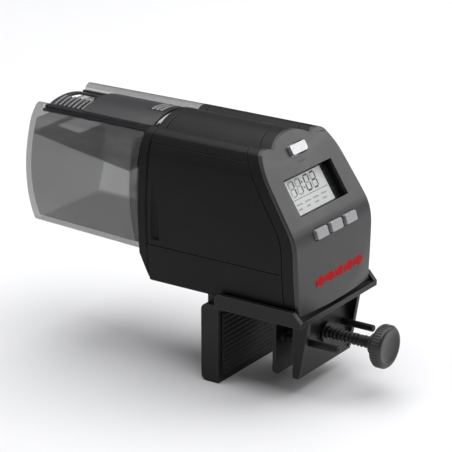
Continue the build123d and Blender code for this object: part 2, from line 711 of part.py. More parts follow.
cell_low = tray_x + tray_wall + contact_gap
cell_high = tray_x + tray_wall + tray_inner - contact_gap
nose = 1.2
with BuildPart() as battery_cells:
    rod((cell_high - cell_length, cell_rows[0], cell_z), cell_length - nose, cell_r)
    rod((cell_high - nose - 0.1, cell_rows[0], cell_z), nose + 0.1, 2.7)
    rod((cell_low + nose, cell_rows[1], cell_z), cell_length - nose, cell_r)
    rod((cell_low, cell_rows[1], cell_z), nose + 0.1, 2.7)
save(battery_cells, "battery_cells")

with BuildPart() as battery_contacts:
    for y in cell_rows:
        for x in (cell_low - contact_gap, cell_high + contact_gap - contact_thick):
            block((x, y - 5, cell_z - 5), (x + contact_thick, y + 5, cell_z + 4.5))
save(battery_contacts, "battery_contacts")

# Flat coil springs, drawn as three rings, push each cell against the opposite contact.
spring_wire = 0.25
spring_room = tray_inner - 2 * contact_gap - cell_length
with BuildPart() as battery_springs:
    for turn in range(3):
        step = 0.3 + turn * (spring_room - 0.7) / 2
        for x, y in ((cell_low + step, cell_rows[0]), (cell_high - step, cell_rows[1])):
            with Locations(Location((x, y, cell_z), (0, 90, 0))):
                Torus(3.8 - 0.5 * turn, spring_wire)
save(battery_springs, "battery_springs")

# ---------------------------------------------------------------- food drum
drum_x = junction_x - drum_gap
drum_end = junction_x - drum_length
void_top = ledge_z - 6.1
channel_low = ledge_z - 4.7
channel_high = ledge_z - 3.3
tongue_half = lid_half + 1.9
lid_crown = crown_z - 0.8
lid_sag = 3.7
food_space = drum_form(drum_wall, drum_x + 1, drum_end + drum_wall)
collar_space = drum_form(drum_wall + 0.1, drum_x + 1, drum_end + drum_wall)

with BuildPart() as drum_cavity:
    add(food_space)
    block((drum_end, -reach, 0), (0, reach, void_top), mode=Mode.INTERSECT)

with BuildPart() as drum_shell:
    add(drum_form(0, drum_x, drum_end))
    add(drum_cavity.part, mode=Mode.SUBTRACT)
    block((drum_end - 1, -lid_half - 0.8, channel_high), (drum_x - 1.6, lid_half + 0.8, crown_z),
          mode=Mode.SUBTRACT)
    block((drum_end - 1, -tongue_half - lid_play, channel_low),
          (drum_x - 1.6, tongue_half + lid_play, channel_high), mode=Mode.SUBTRACT)
    block((drum_end + drum_wall, -lid_half + 1.0, void_top - 1), (drum_x - 7.5, lid_half - 1.0, channel_high),
          mode=Mode.SUBTRACT)
save(drum_shell, "drum_shell")

# Collar that closes the drum's inner end: two flanges, a cross of webs and a square socket.
collar_x = drum_x - 0.4
hub_length = 11.0
hub_r = 7.2
with BuildPart() as drum_collar:
    add(collar_space)
    block((collar_x - 5.2, -reach, 0), (collar_x, reach, void_top - 0.1), mode=Mode.INTERSECT)
    for side in (-1, 1):
        for rise in (-1, 1):
            low_y, high_y = sorted((side * 1.0, side * reach))
            low_z, high_z = sorted((drum_axis_z + rise * 1.0, drum_axis_z + rise * 60))
            block((collar_x - 4.0, low_y, low_z), (collar_x - 1.2, high_y, high_z), mode=Mode.SUBTRACT)
    rod((collar_x - hub_length, 0, drum_axis_z), hub_length, hub_r)
    block((collar_x - hub_length + 1.2, -drive_square / 2 - 0.1, drum_axis_z - drive_square / 2 - 0.1),
          (collar_x + 1, drive_square / 2 + 0.1, drum_axis_z + drive_square / 2 + 0.1), mode=Mode.SUBTRACT)
save(drum_collar, "drum_collar")

# Inclined baffle that measures food out of the store, open under the dosing window.
window_x = (drum_end + 3.2, drum_end + 17.5)
window_y = (-2.5, 7.5)
baffle_thick = 1.2
with BuildPart() as drum_baffle:
    with BuildSketch(Plane.XZ):
        with BuildLine():
            outer = (drum_end, ledge_z - 11.5)
            inner = (collar_x - 5.4, ledge_z - 19.0)
            Polyline(outer, inner, (inner[0], inner[1] - baffle_thick), (outer[0], outer[1] - baffle_thick),
                     close=True)
        make_face()
    extrude(amount=reach, both=True)
    add(collar_space, mode=Mode.INTERSECT)
    block((window_x[0], -12, 0), (window_x[1], 12, crown_z), mode=Mode.SUBTRACT)
save(drum_baffle, "drum_baffle")

# Sliding lid: a raised arched sheet, a lower deck with thumb ribs and the dosing window.
lid_end = drum_end + 0.4
lid_inner = drum_x - 2.2
step_x = drum_end + 22.5
deck_drop = 2.8
deck_half = lid_half - 1.4
deck_sag = 2.45
skirt_low = channel_low + lid_play
rib_pitch = 2.6

with BuildPart() as drum_lid:
    add(arch_sheet(lid_half, lid_crown, lid_sag, lid_sheet, step_x, lid_inner))
    add(arch_sheet(deck_half, lid_crown - deck_drop, deck_sag, lid_sheet, lid_end, step_x + 19))
    for side in (-1, 1):
        low_y, high_y = sorted((side * (lid_half - 1.8), side * lid_half))
        block((lid_end, low_y, skirt_low), (lid_inner, high_y, ledge_z - 2.2))
        low_y, high_y = sorted((side * (lid_half - 0.5), side * tongue_half))
        block((lid_end, low_y, skirt_low), (lid_inner, high_y, channel_high - lid_play))
    block((window_x[0], window_y[0], void_top), (window_x[1], window_y[1], crown_z), mode=Mode.SUBTRACT)
save(drum_lid, "drum_lid")

with BuildPart() as lid_ribs:
    for rib in range(7):
        rib_x = drum_end + 4.0 + rib * rib_pitch
        add(arch_sheet(deck_half, lid_crown - deck_drop + 1.3, deck_sag, 1.3, rib_x, rib_x + 1.2))
    block((drum_end, -deck_half + 0.6, 0), (0, window_y[0] - 1.5, crown_z), mode=Mode.INTERSECT)
save(lid_ribs, "lid_ribs")

with BuildPart() as dosing_shutter:
    add(arch_sheet(deck_half, lid_crown - deck_drop + 1.2, deck_sag, 0.9, step_x - 1.5, step_x + 17))
    add(arch_sheet(deck_half, lid_crown - deck_drop + 2.0, deck_sag, 1.6, step_x - 2.5, step_x - 1.4))
    block((drum_end, window_y[0] - 0.8, 0), (0, window_y[1] + 0.8, crown_z + 5), mode=Mode.INTERSECT)
save(dosing_shutter, "dosing_shutter")
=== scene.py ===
"""Automatic feeder for an aquarium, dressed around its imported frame. Metres, +Z up.

The file goes through the feeder part by part: clamp bracket with its pads, screw and knob,
housing, control face, buttons, display, printing, food drum and lid, drive, screws, boards, cells.
"""
import json
from math import cos, pi, radians, sin

import bmesh
import bpy
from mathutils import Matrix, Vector
from mathutils.bvhtree import BVHTree

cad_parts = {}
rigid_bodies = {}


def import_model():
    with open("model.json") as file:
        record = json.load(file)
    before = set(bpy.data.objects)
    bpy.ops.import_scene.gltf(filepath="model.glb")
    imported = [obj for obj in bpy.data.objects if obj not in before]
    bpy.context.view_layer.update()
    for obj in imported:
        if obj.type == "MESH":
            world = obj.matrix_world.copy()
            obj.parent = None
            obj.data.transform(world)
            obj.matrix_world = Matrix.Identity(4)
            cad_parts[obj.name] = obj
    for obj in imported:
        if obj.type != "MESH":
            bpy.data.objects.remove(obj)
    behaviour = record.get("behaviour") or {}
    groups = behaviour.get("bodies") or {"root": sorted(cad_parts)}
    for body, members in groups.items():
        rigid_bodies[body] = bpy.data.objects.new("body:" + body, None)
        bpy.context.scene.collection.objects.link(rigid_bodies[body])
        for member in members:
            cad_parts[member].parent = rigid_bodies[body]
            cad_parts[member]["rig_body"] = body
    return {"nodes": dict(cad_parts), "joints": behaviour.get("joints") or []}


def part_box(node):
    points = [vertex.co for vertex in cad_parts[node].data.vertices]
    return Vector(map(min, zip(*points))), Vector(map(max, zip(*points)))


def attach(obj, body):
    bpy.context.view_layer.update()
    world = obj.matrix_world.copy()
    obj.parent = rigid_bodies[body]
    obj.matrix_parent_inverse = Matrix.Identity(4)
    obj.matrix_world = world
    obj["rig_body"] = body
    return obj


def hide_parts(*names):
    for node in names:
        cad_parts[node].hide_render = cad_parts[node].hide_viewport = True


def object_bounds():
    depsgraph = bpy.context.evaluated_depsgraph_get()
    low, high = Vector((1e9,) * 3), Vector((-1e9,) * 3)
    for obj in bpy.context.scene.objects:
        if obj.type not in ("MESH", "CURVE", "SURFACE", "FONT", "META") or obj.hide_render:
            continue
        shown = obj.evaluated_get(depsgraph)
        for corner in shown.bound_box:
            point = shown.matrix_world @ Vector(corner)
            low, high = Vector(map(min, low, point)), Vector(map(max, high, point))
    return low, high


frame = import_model()
cad_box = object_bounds()
mm = 0.001

# ------------------------------------------------------------------ studio
# The feeder stands on its clamp on a pale matt table. One large softbox hangs over it,
# one faces the control panel and a weak one lifts the side of the housing.
low, high = (Vector(corner) for corner in cad_box)
middle = (low + high) / 2


def link(obj):
    """Puts an object into the scene."""
    bpy.context.scene.collection.objects.link(obj)
    return obj


def preset(node, **sockets):
    """Sets a node's inputs by their names, spaces as underscores."""
    for socket, value in sockets.items():
        node.inputs[socket.replace("_", " ")].default_value = value


def shader(name, colour=(0.5, 0.5, 0.5), **sockets):
    """A material with one Principled shader and these inputs."""
    made = bpy.data.materials.new(name)
    made.use_nodes = True
    preset(made.node_tree.nodes["Principled BSDF"], Base_Color=(*colour, 1), **sockets)
    return made


def fresh(tree, *kinds):
    """New nodes of these kinds in a tree, as a list."""
    return [tree.nodes.new(kind) for kind in kinds]


def wire(tree, pairs):
    """Joins sockets, given as (node, output, node, input)."""
    for source, output, target, entry in pairs:
        tree.links.new(source.outputs[output], target.inputs[entry])


floor_mesh = bpy.data.meshes.new("table_top")
span = 4.0
floor_mesh.from_pydata([(x * span, y * span, low.z) for x, y in ((-1, -1), (1, -1), (1, 1), (-1, 1))],
                       [], [(0, 1, 2, 3)])
floor = link(bpy.data.objects.new("table_top", floor_mesh))
floor_paint = shader("table_paint", (0.86, 0.86, 0.87), Roughness=0.75)
nodes = floor_paint.node_tree.nodes
speck, tint, place = fresh(floor_paint.node_tree, "ShaderNodeTexNoise", "ShaderNodeMapRange",
                           "ShaderNodeTexCoord")
preset(speck, Scale=9.0)
preset(tint, To_Min=0.70, To_Max=0.80)
wire(floor_paint.node_tree, [(place, "Object", speck, "Vector"), (speck, "Fac", tint, "Value"),
                             (tint, "Result", nodes["Principled BSDF"], "Roughness")])
floor_mesh.materials.append(floor_paint)

for name, power, size, spot in (("softbox_over", 62.0, (2.6, 2.6), (0.0, 0.3, 2.0)),
                                ("softbox_face", 3.6, (0.9, 0.45), (0.62, 0.90, 0.50)),
                                ("softbox_side", 0.8, (0.5, 0.7), (-0.70, -0.70, 0.45))):
    lamp = bpy.data.lights.new(name, "AREA")
    lamp.shape = "RECTANGLE"
    lamp.energy = power
    lamp.size, lamp.size_y = size
    holder = link(bpy.data.objects.new(name, lamp))
    holder.location = spot
    holder.rotation_euler = (middle - Vector(spot)).to_track_quat("-Z", "Y").to_euler()

world = bpy.data.worlds.new("studio_air")
bpy.context.scene.world = world
world.use_nodes = True
air = world.node_tree.nodes
seen, ambient, mixed = air.new("ShaderNodeLightPath"), air["Background"], air.new("ShaderNodeMixShader")
paper = air.new("ShaderNodeBackground")
preset(ambient, Color=(0.95, 0.97, 1.0, 1), Strength=0.14)
preset(paper, Color=(1, 1, 1, 1), Strength=1.0)
wire(world.node_tree, [(seen, "Is Camera Ray", mixed, "Fac"), (ambient, "Background", mixed, 1),
                       (paper, "Background", mixed, 2), (mixed, "Shader", air["World Output"], "Surface")])

lens = bpy.data.cameras.new("camera")
camera = link(bpy.data.objects.new("camera", lens))
eye, aim_shift = Vector((0.529, -0.807, 0.391)), Vector((0.002, 0, 0.006))
camera.location = eye
camera.rotation_euler = (middle + aim_shift - eye).to_track_quat("-Z", "Y").to_euler()
lens.lens = 182
lens.clip_start, lens.clip_end = 0.05, 20
bpy.context.scene.camera = camera
bpy.context.scene.view_settings.view_transform = "Standard"

# ------------------------------------------------------------------ bracket moulding
# One injection moulding in black ABS holds the cradle, the hollow rear jaw and the front
# plate. Its mould was spark-eroded, so the faces are finely grained and the edges a little polished.


def group(name, inputs, outputs):
    """An empty shader node group with these sockets, and its two end nodes."""
    made = bpy.data.node_groups.new(name, "ShaderNodeTree")
    for label, value in inputs.items():
        made.interface.new_socket(label, in_out="INPUT", socket_type="NodeSocketFloat").default_value = value
    for label in outputs:
        made.interface.new_socket(label, in_out="OUTPUT", socket_type="NodeSocketFloat")
    return made, made.nodes.new("NodeGroupInput"), made.nodes.new("NodeGroupOutput")


# Spark grain: pits of a moulded face as a height, and a slow drift of its tone.
spark_grain, start, end = group("spark_grain", {"Grain": 3000.0, "Patch": 60.0}, ("Height", "Tone"))
place, pits, drift = fresh(spark_grain, "ShaderNodeTexCoord", "ShaderNodeTexNoise", "ShaderNodeTexNoise")
preset(pits, Detail=2.5, Roughness=0.6)
preset(drift, Detail=3.0)
wire(spark_grain, [(place, "Object", pits, "Vector"), (place, "Object", drift, "Vector"),
                   (start, "Grain", pits, "Scale"), (start, "Patch", drift, "Scale"),
                   (pits, "Fac", end, "Height"), (drift, "Fac", end, "Tone")])

# Edge polish and highlight: 1 along edges that hands and the tool have smoothed, 0 on open faces.
# Finishes use it for smoother edges and for a painted highlight, a lighter edge colour.
edge_polish_and_highlight, start, end = group("edge_polish_and_highlight", {"Reach": 0.0006, "Strength": 3.0}, ("Edge",))
soft, flat, agree, rest, scaled = fresh(edge_polish_and_highlight, "ShaderNodeBevel", "ShaderNodeNewGeometry",
                                        "ShaderNodeVectorMath", "ShaderNodeMath", "ShaderNodeMath")
soft.samples = 4
agree.operation, rest.operation, scaled.operation = "DOT_PRODUCT", "SUBTRACT", "MULTIPLY"
rest.inputs[0].default_value = 1.0
scaled.use_clamp = True
wire(edge_polish_and_highlight, [(start, "Reach", soft, "Radius"), (soft, "Normal", agree, 0), (flat, "Normal", agree, 1),
                   (agree, "Value", rest, 1), (rest, "Value", scaled, 0), (start, "Strength", scaled, 1),
                   (scaled, "Value", end, "Edge")])

# Handling: faint finger marks that change the gloss, and a little dust on faces that look up.
handling, start, end = group("handling", {"Spread": 38.0, "Dust": 0.05}, ("Smear", "Dust"))
place, marks, band, fine, facing, split, lifted, film = fresh(
    handling, "ShaderNodeTexCoord", "ShaderNodeTexNoise", "ShaderNodeMapRange", "ShaderNodeTexNoise",
    "ShaderNodeNewGeometry", "ShaderNodeSeparateXYZ", "ShaderNodeMath", "ShaderNodeMath")
preset(marks, Distortion=1.2)
preset(band, From_Min=0.45, From_Max=0.75)
preset(fine, Scale=900.0)
lifted.operation, film.operation = "MULTIPLY", "MULTIPLY"
lifted.use_clamp = True
wire(handling, [(place, "Object", marks, "Vector"), (start, "Spread", marks, "Scale"),
                (marks, "Fac", band, "Value"), (band, "Result", end, "Smear"),
                (place, "Object", fine, "Vector"), (facing, "Normal", split, "Vector"),
                (split, "Z", lifted, 0), (fine, "Fac", lifted, 1), (lifted, "Value", film, 0),
                (start, "Dust", film, 1), (film, "Value", end, "Dust")])


def ramp(tree, source, output, low_value, high_value):
    """A value between two limits that follows a 0 to 1 output."""
    step = tree.nodes.new("ShaderNodeMapRange")
    preset(step, To_Min=low_value, To_Max=high_value)
    wire(tree, [(source, output, step, "Value")])
    return step


def blend_colour(tree, source, output, first, second):
    """A colour between two, by a 0 to 1 output; each of the two is a colour or a node that gives one."""
    step = tree.nodes.new("ShaderNodeMix")
    step.data_type = "RGBA"
    wire(tree, [(source, output, step, "Factor")])
    for socket, colour in ((6, first), (7, second)):
        if isinstance(colour, tuple):
            step.inputs[socket].default_value = (*colour, 1)
        else:
            wire(tree, [(colour, 2, step, socket)])
    return step


dust_tone = (0.34, 0.34, 0.33)


def moulded(name, tone, edge_highlight, rough, grain=3000.0, depth=0.00002, dust=0.04, polish_and_highlight=3.0, **sockets):
    """Moulded plastic: grain, slightly uneven tone, smoother edges with a painted highlight, and faint
    handling marks.
    """
    made = shader(name, tone, **sockets)
    tree = made.node_tree
    skin, edge, hands, sheen, bump = fresh(tree, "ShaderNodeGroup", "ShaderNodeGroup", "ShaderNodeGroup",
                                           "ShaderNodeMath", "ShaderNodeBump")
    skin.node_tree, edge.node_tree, hands.node_tree = spark_grain, edge_polish_and_highlight, handling
    preset(skin, Grain=grain)
    preset(edge, Strength=polish_and_highlight)
    preset(hands, Dust=dust)
    drifted = blend_colour(tree, skin, "Tone", tuple(0.8 * c for c in tone), tuple(1.2 * c for c in tone))
    # Edges take the second, lighter colour: a painted highlight along every edge.
    edged = blend_colour(tree, edge, "Edge", drifted, edge_highlight)
    dusty = blend_colour(tree, hands, "Dust", edged, dust_tone)
    gloss = ramp(tree, hands, "Smear", rough + 0.03, rough - 0.05)
    rubbed = ramp(tree, edge, "Edge", 1.0, 0.55)
    sheen.operation = "MULTIPLY"
    preset(bump, Distance=depth, Strength=0.7)
    finish = tree.nodes["Principled BSDF"]
    wire(tree, [(dusty, 2, finish, "Base Color"), (gloss, "Result", sheen, 0), (rubbed, "Result", sheen, 1),
                (sheen, "Value", finish, "Roughness"),
                (skin, "Height", bump, "Height"), (bump, "Normal", finish, "Normal")])
    return made


def folded(mesh):
    """Area by which a mesh's faces double over, where its rounding has run into itself."""
    mesh.calc_loop_triangles()
    areas = [-polygon.area for polygon in mesh.polygons]
    for triangle in mesh.loop_triangles:
        areas[triangle.polygon_index] += triangle.area
    return sum(max(0.0, area) for area in areas)


def weld(node):
    """A CAD node's shape with its doubled corner points joined."""
    solid = bmesh.new()
    solid.from_mesh(frame["nodes"][node].data)
    bmesh.ops.remove_doubles(solid, verts=solid.verts, dist=weld_gap)
    return solid


def baked(solid, name):
    """A new mesh of what was built in a bmesh, which is then let go."""
    mesh = bpy.data.meshes.new(name)
    solid.to_mesh(mesh)
    solid.free()
    return mesh


weld_gap, shortest_edge = 0.004 * mm, 0.02 * mm
flat_within, sharp_from = radians(0.6), radians(32)
most_corners = 40
easings = (1.0, 0.6, 0.35, 0.2)


def rounded(node, name, material, width=0.3 * mm, widest=None, spare=1.0 * mm ** 2):
    """A node's shape as one welded mesh with its edges rounded over, standing in its place.

    widest, if given, says how many times the width an edge gets. Where more than the spare area
    doubles over, the whole rounding is made narrower.
    """
    welded = weld(node)
    bmesh.ops.dissolve_degenerate(welded, dist=shortest_edge, edges=welded.edges)
    bmesh.ops.dissolve_limit(welded, angle_limit=flat_within, verts=welded.verts, edges=welded.edges)
    wide_faces = [face for face in welded.faces if len(face.verts) > most_corners]
    bmesh.ops.triangulate(welded, faces=wide_faces, ngon_method="BEAUTY")
    share = welded.edges.layers.float.new("bevel_weight_edge")
    for edge in welded.edges:
        if len(edge.link_faces) == 2 and edge.calc_face_angle(0) > sharp_from:
            edge[share] = widest(edge) if widest else 1.0
    most = max((edge[share] for edge in welded.edges), default=1.0) or 1.0
    for edge in welded.edges:
        edge[share] /= most
    mesh = baked(welded, name)
    if "custom_normal" in mesh.attributes:
        mesh.attributes.remove(mesh.attributes["custom_normal"])
    for polygon in mesh.polygons:
        polygon.use_smooth = True
    carrier = link(bpy.data.objects.new(name, mesh))
    round_over = carrier.modifiers.new("round_over", "BEVEL")
    round_over.limit_method = "WEIGHT"
    round_over.segments = 3
    round_over.use_clamp_overlap = False
    round_over.miter_outer = "MITER_ARC"
    weighted = carrier.modifiers.new("weighted", "WEIGHTED_NORMAL")
    weighted.keep_sharp = False
    weighted.weight = 80
    for easing in easings:
        round_over.width = width * most * easing
        depsgraph = bpy.context.evaluated_depsgraph_get()
        plain = bpy.data.meshes.new_from_object(carrier.evaluated_get(depsgraph))
        if folded(plain) < spare:
            break
    bpy.data.objects.remove(carrier)
    return settle(name, plain, node_body(node), material, node)


def node_body(node):
    """The body that a CAD node rides on."""
    return frame["nodes"][node]["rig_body"]


def dress(material, *nodes):
    """Gives CAD nodes that keep their own shape a finish."""
    for node in nodes:
        frame["nodes"][node].data.materials[0] = material


def settle(name, mesh, body, material, *replaced, slot=None):
    """Makes a finished mesh a piece on its body, in place of the CAD nodes it stands for."""
    mesh.name = name
    mesh.materials.clear()
    for one in material if isinstance(material, (list, tuple)) else (material,):
        mesh.materials.append(one)
    piece = link(bpy.data.objects.new(name, mesh))
    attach(piece, body)
    if replaced:
        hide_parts(*replaced)
    return piece


# The second colour of each moulded finish is its lighter edge colour, a painted highlight.
bracket_plastic = moulded("bracket_plastic", (0.0075, 0.0075, 0.008), (0.07, 0.07, 0.072), 0.42,
                          Specular_IOR_Level=0.3)
rounded("bracket_frame", "bracket_moulding", bracket_plastic, 0.35 * mm)
rounded("clamp_plate", "clamp_plate_moulding", bracket_plastic, 0.35 * mm)
rounded("guide_pins", "guide_pin_pair", bracket_plastic, 0.3 * mm)

# ------------------------------------------------------------------ grip pads
# Soft black rubber is glued to both jaws. Rows of low ribs keep it from slipping on wet glass.
rubber = moulded("pad_rubber", (0.009, 0.009, 0.009), (0.02, 0.02, 0.02), 0.78, grain=5200.0, depth=0.00004,
                 dust=0.1)


def node_box(node):
    """Lowest and highest corner of a CAD node."""
    return tuple(Vector(corner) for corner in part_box(node))


def tree_with(name, sizes):
    """A Geometry Nodes tree with named size inputs, a material input, and its end nodes."""
    made = bpy.data.node_groups.new(name, "GeometryNodeTree")
    made.interface.new_socket("Geometry", in_out="INPUT", socket_type="NodeSocketGeometry")
    for label, kind in sizes.items():
        made.interface.new_socket(label, in_out="INPUT", socket_type=f"NodeSocket{kind}")
    made.interface.new_socket("Material", in_out="INPUT", socket_type="NodeSocketMaterial")
    made.interface.new_socket("Geometry", in_out="OUTPUT", socket_type="NodeSocketGeometry")
    return made, made.nodes.new("NodeGroupInput"), made.nodes.new("NodeGroupOutput")


def finish_tree(tree, start, end, source, output):
    """Ends a tree in Realize Instances and Set Material."""
    real, painted = tree.nodes.new("GeometryNodeRealizeInstances"), tree.nodes.new("GeometryNodeSetMaterial")
    wire(tree, [(source, output, real, "Geometry"), (real, "Geometry", painted, "Geometry"),
                (start, "Material", painted, "Material"), (painted, "Geometry", end, "Geometry")])


def grown(tree, points, **sizes):
    """Runs a tree on a few seed points and returns the plain mesh it makes."""
    seeds = bpy.data.meshes.new("seeds")
    seeds.from_pydata([tuple(point) for point in points], [], [])
    carrier = link(bpy.data.objects.new("seeds", seeds))
    growth = carrier.modifiers.new("growth", "NODES")
    growth.node_group = tree
    for socket in tree.interface.items_tree:
        if socket.in_out == "INPUT" and socket.name in sizes:
            growth[socket.identifier] = sizes[socket.name]
    depsgraph = bpy.context.evaluated_depsgraph_get()
    mesh = bpy.data.meshes.new_from_object(carrier.evaluated_get(depsgraph))
    carrier.modifiers.remove(growth)
    bpy.data.objects.remove(carrier)
    return mesh


def joined(*meshes):
    """Several meshes as one."""
    whole = bmesh.new()
    for mesh in meshes:
        whole.from_mesh(mesh)
    return baked(whole, "joined")


def slab(low, high, width=0.0):
    """Box between two corners, its edges rounded by width."""
    solid = bmesh.new()
    bmesh.ops.create_cube(solid, size=1.0)
    for vertex in solid.verts:
        vertex.co = Vector([low[i] + (vertex.co[i] + 0.5) * (high[i] - low[i]) for i in range(3)])
    if width:
        bmesh.ops.bevel(solid, geom=solid.edges[:], offset=width, segments=3, affect="EDGES", profile=0.5)
    return baked(solid, "slab")


# Bars: a bar on each seed point, Size long, deep and high, its top rounded.
bars, start, end = tree_with("bars", {"Size": "Vector", "Sides": "Int"})
stick, squash, on_points, lay = fresh(bars, "GeometryNodeMeshCylinder", "GeometryNodeTransform",
                                      "GeometryNodeInstanceOnPoints", "GeometryNodeTransform")
preset(stick, Radius=0.5, Depth=1.0)
preset(lay, Rotation=(radians(90), 0, 0))
wire(bars, [(start, "Sides", stick, "Vertices"), (stick, "Mesh", lay, "Geometry"),
            (lay, "Geometry", squash, "Geometry"), (start, "Size", squash, "Scale"),
            (start, "Geometry", on_points, "Points"), (squash, "Geometry", on_points, "Instance")])
finish_tree(bars, start, end, on_points, "Instances")

rib_rise, rib_wide, rib_spacing, rib_margin = 0.45 * mm, 1.1 * mm, 2.2 * mm, 1.2 * mm
for node, name, inward in (("jaw_pad", "jaw_grip", 1), ("clamp_pad", "clamp_grip", -1)):
    corner, far = node_box(node)
    back = slab((corner.x + (rib_rise if inward < 0 else 0), corner.y, corner.z),
                (far.x - (rib_rise if inward > 0 else 0), far.y, far.z), 0.2 * mm)
    face = far.x - rib_rise if inward > 0 else corner.x + rib_rise
    count = int((far.z - corner.z) / rib_spacing)
    rise = (far.z - corner.z - 2 * rib_margin) / (count - 1)
    seeds = [(face, (corner.y + far.y) / 2, corner.z + rib_margin + i * rise) for i in range(count)]
    ribs = grown(bars, seeds, Size=(2 * rib_rise, far.y - corner.y - 1.5 * mm, rib_wide), Sides=10,
                 Material=rubber)
    settle(name, joined(back, ribs), node_body(node), rubber, node)

# ------------------------------------------------------------------ clamp screw and knob
# The screw is glass-filled nylon with a coarse moulded thread of 2 mm pitch. The round knob is
# pushed onto its end: a knurled rim and a front face dished for the thumb.


def disc(u, v, radius, sides=14):
    """Points round a circle."""
    turns = (2 * pi * i / sides for i in range(sides))
    return [(u + radius * cos(turn), v + radius * sin(turn)) for turn in turns]


def turned(profile, centre, sides=64):
    """Closed body turned about a line along X; the profile is (x, radius) pairs, end to end."""
    solid = bmesh.new()
    rings = []
    for x, radius in profile:
        if radius < 1e-7:
            rings.append([solid.verts.new((x, centre[0], centre[1]))])
        else:
            rings.append([solid.verts.new((x, y, z)) for y, z in disc(*centre, radius, sides)])
    for first, second in zip(rings, rings[1:]):
        for i in range(sides):
            around = [first[i % len(first)], first[(i + 1) % len(first)],
                      second[(i + 1) % len(second)], second[i % len(second)]]
            corners = list(dict.fromkeys(around))
            if len(corners) > 2:
                solid.faces.new(corners)
    for ring in (rings[0], rings[-1]):
        if len(ring) > 1:
            solid.faces.new(ring)
    bmesh.ops.recalc_face_normals(solid, faces=solid.faces)
    mesh = baked(solid, "turned")
    mesh.shade_smooth()
    mesh.set_sharp_from_angle(angle=radians(38))
    return mesh


nylon = moulded("screw_nylon", (0.008, 0.008, 0.0085), (0.05, 0.05, 0.05), 0.38, grain=4200.0,
                Specular_IOR_Level=0.35)


def wound(name, sizes):
    """A tree that sweeps a wire along a spiral, its length and start wired, the rest left to the caller."""
    tree, start, end = tree_with(name, sizes)
    helix, outline, sweep, shift = fresh(tree, "GeometryNodeCurveSpiral", "GeometryNodeCurvePrimitiveCircle",
                                         "GeometryNodeCurveToMesh", "GeometryNodeTransform")
    preset(sweep, Fill_Caps=True)
    wire(tree, [(start, "Length", helix, "Height"), (helix, "Curve", sweep, "Curve"),
                (outline, "Curve", sweep, "Profile Curve"), (sweep, "Mesh", shift, "Geometry"),
                (start, "From", shift, "Translation")])
    finish_tree(tree, start, end, shift, "Geometry")
    return tree, start, helix, outline, shift


thread, start, helix, outline, shift = wound(
    "thread", {"Turns": "Float", "Length": "Float", "Radius": "Float", "Ridge": "Float", "From": "Vector"})
preset(helix, Resolution=40)
preset(outline, Resolution=4)
preset(shift, Rotation=(0, radians(90), 0))
wire(thread, [(start, "Turns", helix, "Rotations"), (start, "Radius", helix, "Start Radius"),
              (start, "Radius", helix, "End Radius"), (start, "Ridge", outline, "Radius")])

corner, far = node_box("clamp_screw")
head_r = (far.z - corner.z) / 2
screw_r, pitch, ridge = 2.9 * mm, 2.0 * mm, 0.72 * mm
head_high, head_chamfer = 0.95 * mm, 0.2 * mm
knob_low, knob_high = node_box("screw_knob")
core_r = screw_r - 0.55 * mm
thread_from = corner.x + 3.2 * mm
turns = (knob_low.x - thread_from) / pitch
core = turned([(corner.x, 0), (corner.x, head_r - head_chamfer), (corner.x + head_chamfer, head_r),
               (corner.x + head_high - head_chamfer, head_r), (corner.x + head_high, head_r - head_chamfer),
               (corner.x + head_high, screw_r), (thread_from - 0.4 * mm, screw_r), (thread_from, core_r),
               (knob_low.x, core_r), (far.x, core_r), (far.x, 0)], (0, 0), 40)
helix_mesh = grown(thread, [(0, 0, 0)], Turns=turns, Length=turns * pitch, Radius=screw_r - ridge,
                   Ridge=ridge, From=(thread_from, 0, 0), Material=nylon)
settle("threaded_screw", joined(core, helix_mesh), "screw", nylon, "clamp_screw")

knurl, start, end = tree_with("knurl", {"Count": "Int", "Radius": "Float", "Width": "Float", "Ridge": "Float",
                                        "Centre": "Vector"})
ring, ridge_bar, on_ring, shift = fresh(knurl, "GeometryNodeMeshCircle", "GeometryNodeMeshCylinder",
                                        "GeometryNodeInstanceOnPoints", "GeometryNodeTransform")
preset(ridge_bar, Vertices=10)
preset(shift, Rotation=(0, radians(90), 0))
wire(knurl, [(start, "Count", ring, "Vertices"), (start, "Radius", ring, "Radius"),
             (start, "Ridge", ridge_bar, "Radius"), (start, "Width", ridge_bar, "Depth"),
             (ring, "Mesh", on_ring, "Points"), (ridge_bar, "Mesh", on_ring, "Instance"),
             (on_ring, "Instances", shift, "Geometry"), (start, "Centre", shift, "Translation")])
finish_tree(knurl, start, end, shift, "Geometry")

knob_face = moulded("knob_plastic", (0.02, 0.02, 0.021), (0.09, 0.09, 0.092), 0.36, grain=3400.0)
knob_r = (knob_high.z - knob_low.z) / 2
back_x = knob_high.x - 5.8 * mm
rim_r, dish = knob_r - 0.35 * mm, 1.35 * mm
neck_r, neck_step = 4.8 * mm, 0.4 * mm
back_round, front_round = 1.2 * mm, 1.3 * mm
quarter = [radians(t) for t in range(0, 91, 15)]
profile = [(knob_low.x, 0), (knob_low.x, neck_r - neck_step), (knob_low.x + neck_step, neck_r),
           (back_x - 0.3 * mm, neck_r), (back_x, neck_r + neck_step), (back_x, rim_r - 1.3 * mm)]
profile += [(back_x + back_round * (1 - cos(a)), rim_r - back_round * (1 - sin(a))) for a in quarter]
profile += [(knob_high.x - front_round * (1 - sin(a)), rim_r - front_round * (1 - cos(a))) for a in quarter]
dish_r = rim_r - 1.9 * mm
profile += [(knob_high.x - dish * (1 - (t / 8) ** 2) ** 0.8, dish_r * t / 8) for t in range(8, -1, -1)]
rim = grown(knurl, [(0, 0, 0)], Count=44, Radius=rim_r - 0.12 * mm, Width=3.4 * mm, Ridge=0.46 * mm,
            Centre=(back_x + 2.85 * mm, 0, 0), Material=knob_face)
settle("thumb_knob", joined(turned(profile, (0, 0), 88), rim), "screw", knob_face, "screw_knob")

